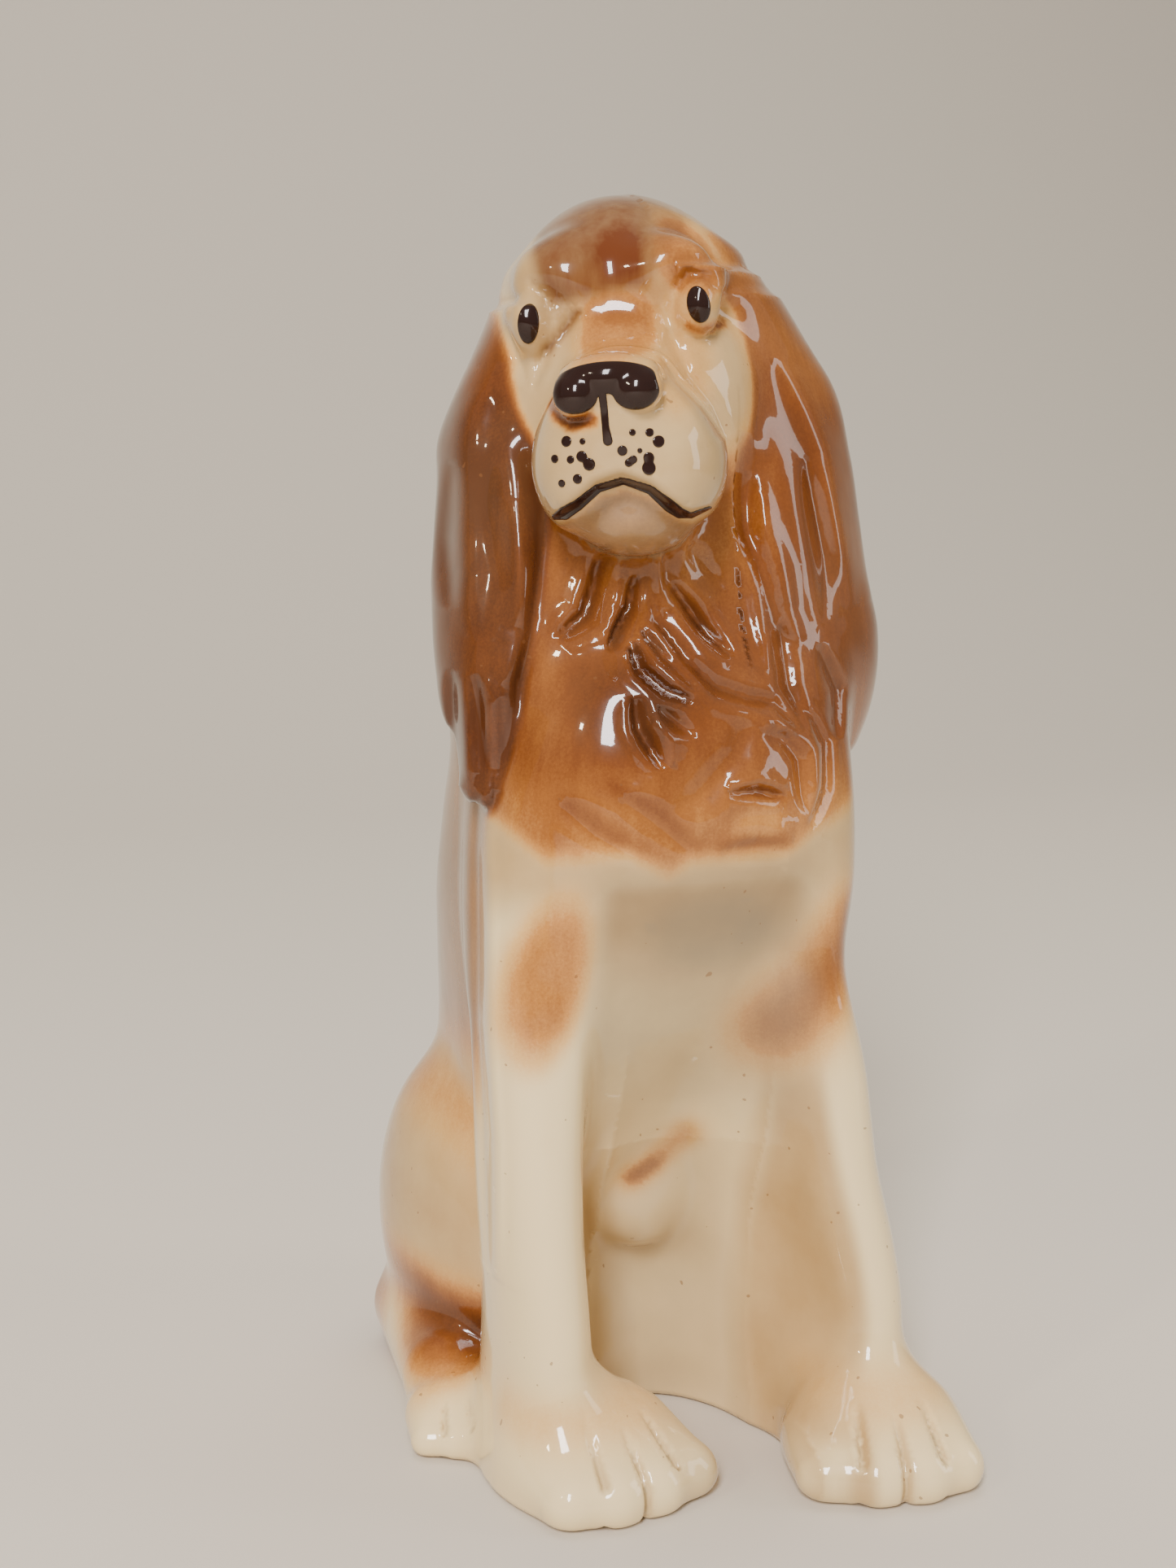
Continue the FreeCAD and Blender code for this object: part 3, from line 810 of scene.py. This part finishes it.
def nose_shape(flat):
    field = flat_ellipse(flat, *NOSE_BAND)
    for lobe in NOSE_LOBES:
        field = smooth_union(field, flat_ellipse(flat, *lobe), 0.8)
    return field


def dots_shape(side):
    def shape(flat):
        field = np.full(len(flat), 1e3)
        for left, height, radius in DOTS[side]:
            field = smooth_union(field, length(flat - (left, height)) - DOT_SPREAD * radius, 0.5)
        return field
    return shape


# Each mark: its outline on the face, and the part of the face that it lies in.
MARKS = {
    "right_eye": (eye_shape(RIGHT), (-20, 20, 210), (-11, 36, 222)),
    "left_eye": (eye_shape(LEFT), (11, 20, 211), (19, 36, 223)),
    "nose": (nose_shape, (-10, 48, 196), (11, 66, 210)),
    "philtrum_line": (lambda flat: brush(flat, PHILTRUM), (-2, 48, 192), (2, 64, 204)),
    "mouth_line": (lambda flat: brush(flat, MOUTH), (-13, 36, 177), (18, 62, 190)),
    "right_whisker_dots": (dots_shape(RIGHT), (-12, 46, 185), (-1, 64, 198)),
    "left_whisker_dots": (dots_shape(LEFT), (1, 46, 186), (11, 64, 198)),
}


def enamel_field(shape, low, high):
    """A thin coat that follows the glaze inside the mark's outline."""
    def field(p):
        values = np.full(len(p), 5.0)
        q = to_head(p)
        near = ((q > np.array(low) - 1.5) & (q < np.array(high) + 1.5)).all(1)
        surface = dog(p[near])
        coat = smooth_cut(surface - PROUD, -surface - SUNK, 0.15)
        values[near] = smooth_cut(coat, shape(q[near][:, (0, 2)]), 0.22)
        return values
    return field


def enamel_mark(name):
    shape, low, high = MARKS[name]
    field = enamel_field(shape, low, high)
    corners = from_head([(u, v, w) for u in (low[0], high[0]) for v in (low[1], high[1])
                         for w in (low[2], high[2])])
    fine = 0.24
    points, faces = surface_net(field, corners.min(0) - 1, corners.max(0) + 1, fine)
    points, normals = settle(field, points, faces, fine, 2)
    return make_piece(name + "_enamel", points, faces, normals)


# -------- underglaze colour


def ramp(x, start, stop):
    t = np.clip((x - start) / (stop - start), 0.0, 1.0)
    return t * t * (3.0 - 2.0 * t)


def spot(flat, centre, radii, tilt=0.0):
    """A soft-edged patch, 1 in the middle and nothing past its radii."""
    reach = flat_ellipse(flat, centre, radii, tilt) / min(radii) + 1.0
    return 1.0 - ramp(reach, 0.35, 1.1)


def line(flat, stops, width):
    return np.exp(-(np.maximum(stroke(flat, stops)[0], 0.0) / width) ** 2)


def outline(flat, corners):
    """Signed distance to a closed outline, negative inside."""
    corners = np.array(corners, float)
    nearest = np.full(len(flat), 1e9)
    inside = np.zeros(len(flat), bool)
    for one, two in zip(corners, np.roll(corners, -1, axis=0)):
        edge = two - one
        local = flat - one
        share = np.clip(local @ edge / (edge @ edge), 0.0, 1.0)
        nearest = np.minimum(nearest, length(local - share[:, None] * edge))
        crosses = (one[1] > flat[:, 1]) != (two[1] > flat[:, 1])
        side = one[0] + (flat[:, 1] - one[1]) / (two[1] - one[1] + 1e-9) * edge[0]
        inside ^= crosses & (flat[:, 0] < side)
    return np.where(inside, -nearest, nearest)


# The lower edge of the ruff's colour: side and height.
RUFF_EDGE = [(-60, 136), (-39.7, 127.1), (-31.9, 119.3), (-25.6, 119.5), (-17.8, 120.7), (-10.3, 116.3),
             (-5.8, 119.2), (1.8, 119.2), (13.8, 119.3), (19.7, 122.3), (30, 125.3), (40, 133.4), (60, 140)]
# The rust patch on the forehead, in (left, height) head coordinates.
CROWN = [(-15.5, 228.5), (-13.8, 222), (-11.8, 217.8), (-7, 218.6), (0.5, 219.6), (6.8, 219.4), (9.5, 223.5),
         (11.2, 227), (14, 233), (13, 250), (-16, 250), (-17.5, 236)]
BRUSH_MARK = [(-6.6, 217.6), (-9.5, 214.6), (-12.8, 211.3)]


def brightest(*layers):
    """Each vertex takes its strongest layer."""
    return np.maximum.reduce(layers)


def paint(points, normals, fields, furrow_shade):
    """How much of each colour lies under the glaze at every vertex, with painted shade mixed into the masks
    in furrows, between the legs, on the flank, under the nose and below the mouth.
    """
    x, y, z = points.T
    front = points[:, (0, 2)]
    quarter = seen_from_quarter(points)[0]
    q = to_head(points)
    face = q[:, (0, 2)]
    ahead = ramp(q[:, 1], 6, 18)
    nape = ramp(-q[:, 1], -12, 6)
    behind = ramp(y, -18, 4)
    # Below the mouth: a light brown colour, darkened further as painted shade under the overhanging muzzle.
    chin_shade = 1 - ramp(brush_above(face), -2.5, -0.2)
    on_head = ramp(fields["body_shell"] - fields["head_shell"], -2, 6) * ramp(z, 168, 176)
    creep = {"left": np.interp(z, (150, 185, 215), (0.0, 3.2, 5.0)),
             "right": np.interp(z, (150, 195, 215), (0.0, 0.8, 2.0))}
    on_ears = {side: 1.0 - ramp(fields[side + "_ear"] - creep[side], 0.2, 2.8) for side in creep}
    ears = brightest(on_ears["left"], on_ears["right"])
    # The flank behind the shoulder: brown colour, darkened further as painted shade.
    flank = ramp(np.abs(x), 30, 37) * ramp(y, -30, -16) * ramp(z, 60, 84) * (1 - ears)
    haunch = ramp(np.abs(x), 27, 34) * ramp(y, -22, -2)
    hollow = ramp(x, -28, -18) * (1 - ramp(x, 14, 26)) * ramp(z, 52, 80) * (1 - ramp(z, 112, 122))

    # The ruff: deeper in the throat and along the lower locks.
    ruff_edge = np.interp(x, *np.array(RUFF_EDGE).T)
    ruff = 0.78 * ramp(z, ruff_edge - 3.0, ruff_edge + 4.0) + 0.22 * ramp(z, ruff_edge, ruff_edge + 20.0)
    deep = 0.66 + 0.12 * ramp(z, 126, 142) - 0.22 * ramp(z, 160, 174)
    deep += 0.22 * spot(front, (-17, 146), (12, 12)) + 0.12 * spot(front, (-6, 152), (12, 10))
    deep -= 0.2 * spot(front, (7, 125.5), (7, 4)) + 0.12 * spot(front, (-30, 150), (6, 16))
    deep += 0.2 * line(front, [(-1, 121.5), (7, 122), (15, 120.5)], 1.6)
    deep += 0.16 * line(front, [(-28, 130), (-20, 123.5), (-15, 120.5)], 1.8)
    deep += 0.16 * line(front, [(-20, 133), (-12, 128), (-5, 121)], 1.6)
    deep = deep * (1 - behind) + behind * (0.30 + 0.25 * ramp(z, 120, 180))

    # Patches on the shoulders, belly and back; then the haunches, hocks, heels, tail and ankles.
    belly_mark = 0.30 * line(front, [(1, 61), (-5, 54), (-8.5, 51.5)], 3.2)
    belly_mark += 0.26 * line(front, [(-4.5, 54.2), (-7.5, 51.8)], 1.8)
    rim = np.exp(-((z - 64 + 0.012 * (y - 18) ** 2) / 9.0) ** 2)
    hock = np.exp(-((z - 19 - 0.2 * (y + 3)) / 8.0) ** 2) * (1 - 0.5 * ramp(y, 4, 22))
    heel = ramp(y, 16, 42) * (1 - ramp(z, 20, 38))
    ankle = np.exp(-((z - 17) / 5.0) ** 2) * (1 - haunch) * ramp(-y, 28, 40)
    ginger_and_shade = brightest(
        ruff * deep,
        0.47 * spot(front, (-31.5, 98), (9.5, 20), -16) * (1 - behind),
        0.60 * line(front, [(31, 103), (14, 86)], 8.5) * (1 - behind),
        belly_mark * ramp(-y, 6, 12),
        0.42 * spot(front, (0, 98), (30, 46)) * ramp(y, 4, 26),
        haunch * brightest(0.30 * rim, 0.88 * hock, 0.6 * heel),
        0.6 * (1.0 - ramp(fields["tail"], 0.5, 3.0)),
        0.13 * ankle)

    # Head: bare cheeks and muzzle, a warm patch between the eyes, a painted shadow under the nose and painted
    # shade below the mouth.
    face_colour_and_shade = brightest(
        0.40 * spot(face, (0.5, 212), (11, 9)) + 0.26 * spot(face, (1, 221), (13, 8)),
        0.30 * spot(face, (0.5, 208), (9, 5)),
        0.55 * spot(face, (16, 229), (12, 15)),
        0.5 * line(face, [(13.2, 213.6), (15.5, 212.6), (18.6, 214)], 0.9),
        # Painted shadow under the nose.
        0.85 * line(face, [(-10.5, 202), (-8.5, 199.2), (-6.0, 197.6), (-2.4, 198.0)], 1.3),
        0.20 * spot(face, (12, 206), (7, 12)),
        # Painted shade below the mouth.
        0.48 * chin_shade,
        0.22 * spot(face, (12.5, 217.5), (6, 7)))
    ginger_and_shade = ginger_and_shade * (1 - on_head) + (face_colour_and_shade * ahead * (1 - nape) + 0.55 * nape) * on_head
    ear_tone = 0.86 + 0.16 * on_ears["right"] - 0.10 * on_ears["left"] * ramp(z, 150, 175)
    ear_tone = ear_tone - 0.20 * ramp(z, 196, 216) + 0.10 * spot(quarter, (29, 180), (5, 22))
    ear_tone -= 0.26 * on_ears["left"] * (1 - ramp(z, 132, 158)) * ramp(x, 30, 37)
    ginger_and_shade = ginger_and_shade * (1 - ears) + ear_tone * ears
    # Painted shade: deeper colour in furrows where the colour is already strong.
    ginger_and_shade = 1.07 * ginger_and_shade + 0.30 * furrow_shade * (ginger_and_shade > 0.3)
    ginger_and_shade = brightest(ginger_and_shade, 0.62 * flank * (x < 0))

    crown = 1.0 - ramp(outline(face, CROWN), -2.6, 1.0)
    crown *= (1 - 0.45 * ramp(face[:, 0], 2, 12)) * ramp(q[:, 1], -18, 2) * on_head * (1 - ears)
    rust = brightest(crown * (0.85 + 0.2 * spot(face, (2.8, 227.5), (8, 7))),
                     0.8 * line(face, BRUSH_MARK, 1.0) * ahead * on_head)

    # Light brown mask, much of it painted shade: in furrows, on the inner faces of the legs, down the channel
    # between them, below the mouth and on the flank.
    inner_leg_shade = ramp(x, 8, 16) * (1 - ramp(x, 27, 33)) * (1 - ramp(z, 86, 104)) * ramp(-y, -4, 6)
    tan = brightest(
        0.75 * furrow_shade,
        0.8 * inner_leg_shade * ramp(-normals[:, 0], 0.1, 0.7),
        0.95 * ahead * on_head * chin_shade * (1 - ramp(z, 188, 192)),
        0.9 * flank,
        # Painted shade down the channel between the forelegs.
        (0.35 + 0.65 * ramp(z, 84, 108)) * hollow * (1 - behind),
        0.75 * ramp(z, 104, 116) * (1 - behind),
        0.85 * haunch * ramp(z, 18, 30),
        0.3 * ahead * on_head * (1 - spot(face, (2.5, 193), (17, 14))))

    grey_and_shade = brightest(
        0.48 * hollow * (1 - behind) + 0.36 * spot(front, (0, 105), (17, 10)) * (1 - behind),
        0.8 * spot(front, (-12.2, 106.3), (3.2, 1.8), -35) * (1 - behind),
        0.8 * spot(front, (5.5, 110.6), (3, 1.4), 10) * (1 - behind),
        0.3 * spot(front, (-2, 78), (16, 22)) * ramp(-y, 5, 15),
        0.3 * spot(front, (-1, 36), (17, 48)) * ramp(-y, -8, 6),
        0.5 * flank * ramp(z, 66, 96))
    # On the head the greyish mask is only painted shade below the mouth.
    grey_and_shade = np.where(on_head > 0.5, 0.66 * chin_shade * ahead, grey_and_shade)
    return {"ginger_and_shade": np.clip(ginger_and_shade, 0, 1.2), "rust": np.clip(rust, 0, 1.1), "tan": np.clip(tan, 0, 1),
            "grey_and_shade": grey_and_shade}


def brush_above(face):
    """Height above the mouth line; it is negative below the mouth."""
    line_height = np.interp(face[:, 0], [stop[0] for stop in MOUTH], [stop[1] for stop in MOUTH])
    return face[:, 1] - line_height


# -------- materials


def srgb(red, green, blue):
    return tuple(((c / 255 + 0.055) / 1.055) ** 2.4 if c > 10 else c / 255 / 12.92
                 for c in (red, green, blue)) + (1.0,)


# The brown ramp; its deep end also serves for painted shade.
GINGER_AND_SHADE_STEPS = [(0.0, srgb(241, 217, 164)), (0.18, srgb(226, 180, 112)), (0.38, srgb(196, 134, 66)),
                (0.62, srgb(150, 90, 36)), (0.85, srgb(116, 61, 20)), (1.15, srgb(76, 36, 11))]
# Light brown and greyish colours, both also used for painted shade.
RUST, TAN_AND_SHADE, GREY_AND_SHADE = srgb(98, 50, 22), srgb(162, 120, 62), srgb(138, 124, 98)
WARM_CREAM, SPECK = srgb(222, 192, 146), srgb(120, 78, 44)
ENAMEL, WORN_ENAMEL = srgb(34, 20, 17), srgb(46, 26, 20)


class Graph:
    """Small helpers for building one material's nodes."""

    def __init__(self, name):
        self.material = bpy.data.materials.new(name)
        self.material.use_nodes = True
        self.nodes = self.material.node_tree.nodes
        self.links = self.material.node_tree.links
        self.shader = self.nodes["Principled BSDF"]
        self.place = self.nodes.new("ShaderNodeTexCoord").outputs["Object"]

    def feed(self, socket, value):
        if isinstance(value, (int, float, tuple)):
            socket.default_value = value
        else:
            self.links.new(value, socket)

    def noise(self, scale, detail=3.0, roughness=0.55, stretch=None):
        node = self.nodes.new("ShaderNodeTexNoise")
        node.inputs["Scale"].default_value = scale
        node.inputs["Detail"].default_value = detail
        node.inputs["Roughness"].default_value = roughness
        place = self.place
        if stretch:
            mapping = self.nodes.new("ShaderNodeMapping")
            mapping.inputs["Scale"].default_value = stretch
            self.links.new(place, mapping.inputs["Vector"])
            place = mapping.outputs["Vector"]
        self.links.new(place, node.inputs["Vector"])
        return node.outputs["Fac"]

    def math(self, kind, one, two=0.0, three=0.0, clamp=False):
        node = self.nodes.new("ShaderNodeMath")
        node.operation = kind
        node.use_clamp = clamp
        for socket, value in zip(node.inputs, (one, two, three)):
            self.feed(socket, value)
        return node.outputs[0]

    def scaled(self, value, gain, offset, clamp=False):
        return self.math("MULTIPLY_ADD", value, gain, offset, clamp)

    def product(self, one, two, clamp=False):
        return self.math("MULTIPLY", one, two, clamp=clamp)

    def surface(self, name, value):
        self.feed(self.shader.inputs[name], value)

    def mix(self, share, one, two):
        node = self.nodes.new("ShaderNodeMix")
        node.data_type = "RGBA"
        self.feed(node.inputs[0], share)
        self.feed(node.inputs[6], one)
        self.feed(node.inputs[7], two)
        return node.outputs[2]

    def mask(self, name):
        node = self.nodes.new("ShaderNodeAttribute")
        node.attribute_name = name
        return node.outputs["Fac"]

    def steps(self, value, stops):
        node = self.nodes.new("ShaderNodeValToRGB")
        last = stops[-1][0]
        ramp_stops = node.color_ramp.elements
        while len(ramp_stops) < len(stops):
            ramp_stops.new(0.5)
        for element, (position, colour) in zip(ramp_stops, stops):
            element.position = position / last
            element.color = colour
        self.links.new(self.math("DIVIDE", value, last), node.inputs["Fac"])
        return node.outputs["Color"]

    def bump(self, height, strength, distance, under=None):
        node = self.nodes.new("ShaderNodeBump")
        node.inputs["Strength"].default_value = strength
        node.inputs["Distance"].default_value = distance
        self.links.new(height, node.inputs["Height"])
        if under is not None:
            self.links.new(under, node.inputs["Normal"])
        return node.outputs["Normal"]


def glaze(slot, rough=0.16):
    """Underglaze colour sprayed and brushed on cream earthenware, under a clear gloss glaze, with painted
    shade carried in the same masks.
    """
    g = Graph(slot)
    cloud = g.noise(60, 4)
    streak = g.noise(420, 3, 0.6, (1.0, 1.0, 0.16))
    grain = g.noise(1800, 2, 0.7)

    # Brown colour and painted shade: the mask gives the density, which is broken up where there is any
    # colour.
    broken = g.scaled(cloud, 0.30, -0.15)
    broken = g.math("ADD", broken, g.scaled(streak, 0.20, -0.10))
    broken = g.math("ADD", broken, g.scaled(grain, 0.24, -0.12))
    ginger_and_shade = g.mask("ginger_and_shade")
    spread = g.math("MINIMUM", g.product(ginger_and_shade, 2.2), 1.0)
    density = g.scaled(broken, spread, ginger_and_shade)
    colour = g.steps(g.math("MAXIMUM", density, 0.0), GINGER_AND_SHADE_STEPS)
    warm = g.scaled(g.noise(34, 3), 0.5, -0.14, clamp=True)
    colour = g.mix(g.product(warm, 0.22), colour, WARM_CREAM)

    # Light brown and greyish tones on the bare clay, which also carry painted shade in furrows, between the
    # legs, on the flank and below the mouth; then the rust crown and the specks in the glaze.
    tan = g.product(g.mask("tan"), g.scaled(cloud, 0.5, 0.62), clamp=True)
    colour = g.mix(g.product(tan, g.math("SUBTRACT", 1.0, spread, clamp=True)), colour, TAN_AND_SHADE)
    colour = g.mix(g.product(g.mask("grey_and_shade"), g.scaled(cloud, 0.8, 0.5), clamp=True), colour, GREY_AND_SHADE)
    rust = g.mask("rust")
    rust_spread = g.math("MINIMUM", g.product(rust, 3.0), 1.0)
    colour = g.mix(g.scaled(g.scaled(streak, 0.3, -0.15), rust_spread, rust, clamp=True), colour, RUST)
    specks = g.math("GREATER_THAN", g.noise(700, 0, 0.4), 0.85)
    colour = g.mix(g.product(specks, 0.55), colour, SPECK)

    ripple = g.bump(g.noise(95, 2, 0.4), 0.22, 0.0006)
    g.surface("Base Color", colour)
    g.surface("Roughness", g.scaled(g.noise(240, 3), 0.16, rough))
    g.surface("Specular IOR Level", 0.08)
    g.surface("Coat Weight", 1.0)
    g.surface("Coat Roughness", 0.037)
    g.surface("Coat IOR", 1.45)
    g.surface("Normal", g.bump(g.noise(900, 2, 0.5), 0.10, 0.00012, ripple))
    g.surface("Coat Normal", ripple)
    return g.material


def dark_enamel():
    """Brushed-on enamel, almost black, with a softer gloss than the glaze."""
    g = Graph("dark_enamel")
    worn = g.product(g.noise(500, 3), 0.5)
    g.surface("Base Color", g.mix(worn, ENAMEL, WORN_ENAMEL))
    g.surface("Roughness", g.scaled(g.noise(300, 2), 0.12, 0.08))
    g.surface("Coat Weight", 0.7)
    g.surface("Coat IOR", 1.42)
    g.surface("Specular IOR Level", 0.1)
    g.surface("Coat Roughness", 0.03)
    g.surface("Normal", g.bump(g.noise(260, 2), 0.06, 0.0002))
    return g.material


# -------- pieces

SLOTS = {"body_shell": "cream_glaze", "head_shell": "head_glaze", "left_ear": "ginger_glaze",
         "right_ear": "ginger_glaze", "left_foreleg": "leg_glaze", "right_foreleg": "leg_glaze",
         "left_hind_leg": "haunch_glaze", "right_hind_leg": "haunch_glaze", "tail": "tail_glaze"}
GLAZES = {slot: glaze(slot) for slot in sorted(set(SLOTS.values()))}
DARK = dark_enamel()


def place_piece(piece, node, material):
    piece.data.materials.append(material)
    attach(piece, "root")
    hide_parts(node)


# How far out to look for the surface closing in, for the painted shade in furrows, and a box around the whole
# dog.
CREASE_REACH = 2.6
AROUND = (-56, -76, -3), (60, 76, 246)


def glazed_dog():
    points, faces = surface_net(dog, *AROUND, VOXEL)
    points, normals = settle(dog, points, faces, VOXEL, 3)
    names, owner = casting_of(points, faces)
    points = fair_seams(dog, points, faces, owner)
    normals = outward(dog, points)
    cavity = inner_wall(dog, points, normals, faces, WALL)
    # Painted shade: darker where the surface closes in just outside a vertex, in furrows and folds.
    furrow_shade = np.clip(1.1 * (0.92 - dog(points + normals * CREASE_REACH) / CREASE_REACH), 0.0, 1.0)
    masks = paint(points, normals, castings(points), furrow_shade)
    for index, name in enumerate(names):
        mine = faces[owner == index]
        piece = hollow_casting(name + "_glazed", points, normals, mine, cavity, masks)
        place_piece(piece, name, GLAZES[SLOTS[name]])


glazed_dog()
for mark in MARKS:
    place_piece(enamel_mark(mark), mark, DARK)

# -------- studio


def aim(thing, target):
    direction = Vector(target) - thing.location
    thing.rotation_euler = direction.to_track_quat("-Z", "Y").to_euler()


def softbox(name, place, target, width, height, power, colour=(1, 1, 1), mirrored=True):
    data = bpy.data.lights.new(name, "AREA")
    data.shape = "RECTANGLE"
    data.size, data.size_y, data.energy, data.color = width, height, power, colour
    light = add_object(name, data)
    light.location = place
    light.visible_glossy = mirrored
    aim(light, target)


def sweep(half_width=9.0, front=-9.0, wall=1.6, curve=0.9, height=3.0):
    """The floor and the backdrop in one curved sheet."""
    profile = [(front, 0.0), (wall - curve, 0.0)]
    for degrees in range(6, 90, 6):
        angle = math.radians(degrees)
        profile.append((wall - curve + curve * math.sin(angle), curve - curve * math.cos(angle)))
    profile += [(wall, curve), (wall, height)]
    vertices = [(x, y, z) for y, z in profile for x in (-half_width, half_width)]
    faces = [(2 * i, 2 * i + 1, 2 * i + 3, 2 * i + 2) for i in range(len(profile) - 1)]
    mesh = bpy.data.meshes.new("floor")
    mesh.from_pydata(vertices, [], faces)
    mesh.polygons.foreach_set("use_smooth", [True] * len(faces))
    return add_object("floor", mesh)


floor = sweep()
paper = bpy.data.materials.new("floor_paper")
paper.use_nodes = True
paper_surface = paper.node_tree.nodes["Principled BSDF"].inputs
paper_surface["Base Color"].default_value = srgb(206, 198, 184)
paper_surface["Roughness"].default_value = 0.85
floor.data.materials.append(paper)

middle = (0, 0, 0.12)
softbox("window", (-0.62, -1.2, 1.05), middle, 0.30, 0.75, 37, (1.0, 0.95, 0.96))
softbox("lamp", (-0.95, -0.55, 0.75), middle, 0.08, 0.08, 2.2, (1.0, 0.86, 0.66))
softbox("bounce", (1.2, -0.5, 0.5), middle, 0.35, 0.9, 4.5, (1.0, 0.95, 0.9))
softbox("ceiling", (0.1, 0.45, 1.7), middle, 1.6, 1.1, 21, (1.0, 0.96, 0.9), mirrored=False)
world = bpy.data.worlds.new("studio")
bpy.context.scene.world = world
world.use_nodes = True
sky = world.node_tree.nodes["Background"].inputs
sky["Color"].default_value = (1.0, 0.95, 0.88, 1)
sky["Strength"].default_value = 0.3

CAMERA_DOWN, CAMERA_TURN = 8.99, -18
camera_data = bpy.data.cameras.new("camera")
camera_data.lens = 52.4
camera_data.sensor_width = 36
camera = add_object("camera", camera_data)
camera.location = (-0.1489, -0.4246, 0.1973)
camera.rotation_euler = (math.radians(90 - CAMERA_DOWN), 0, math.radians(CAMERA_TURN))
bpy.context.scene.camera = camera
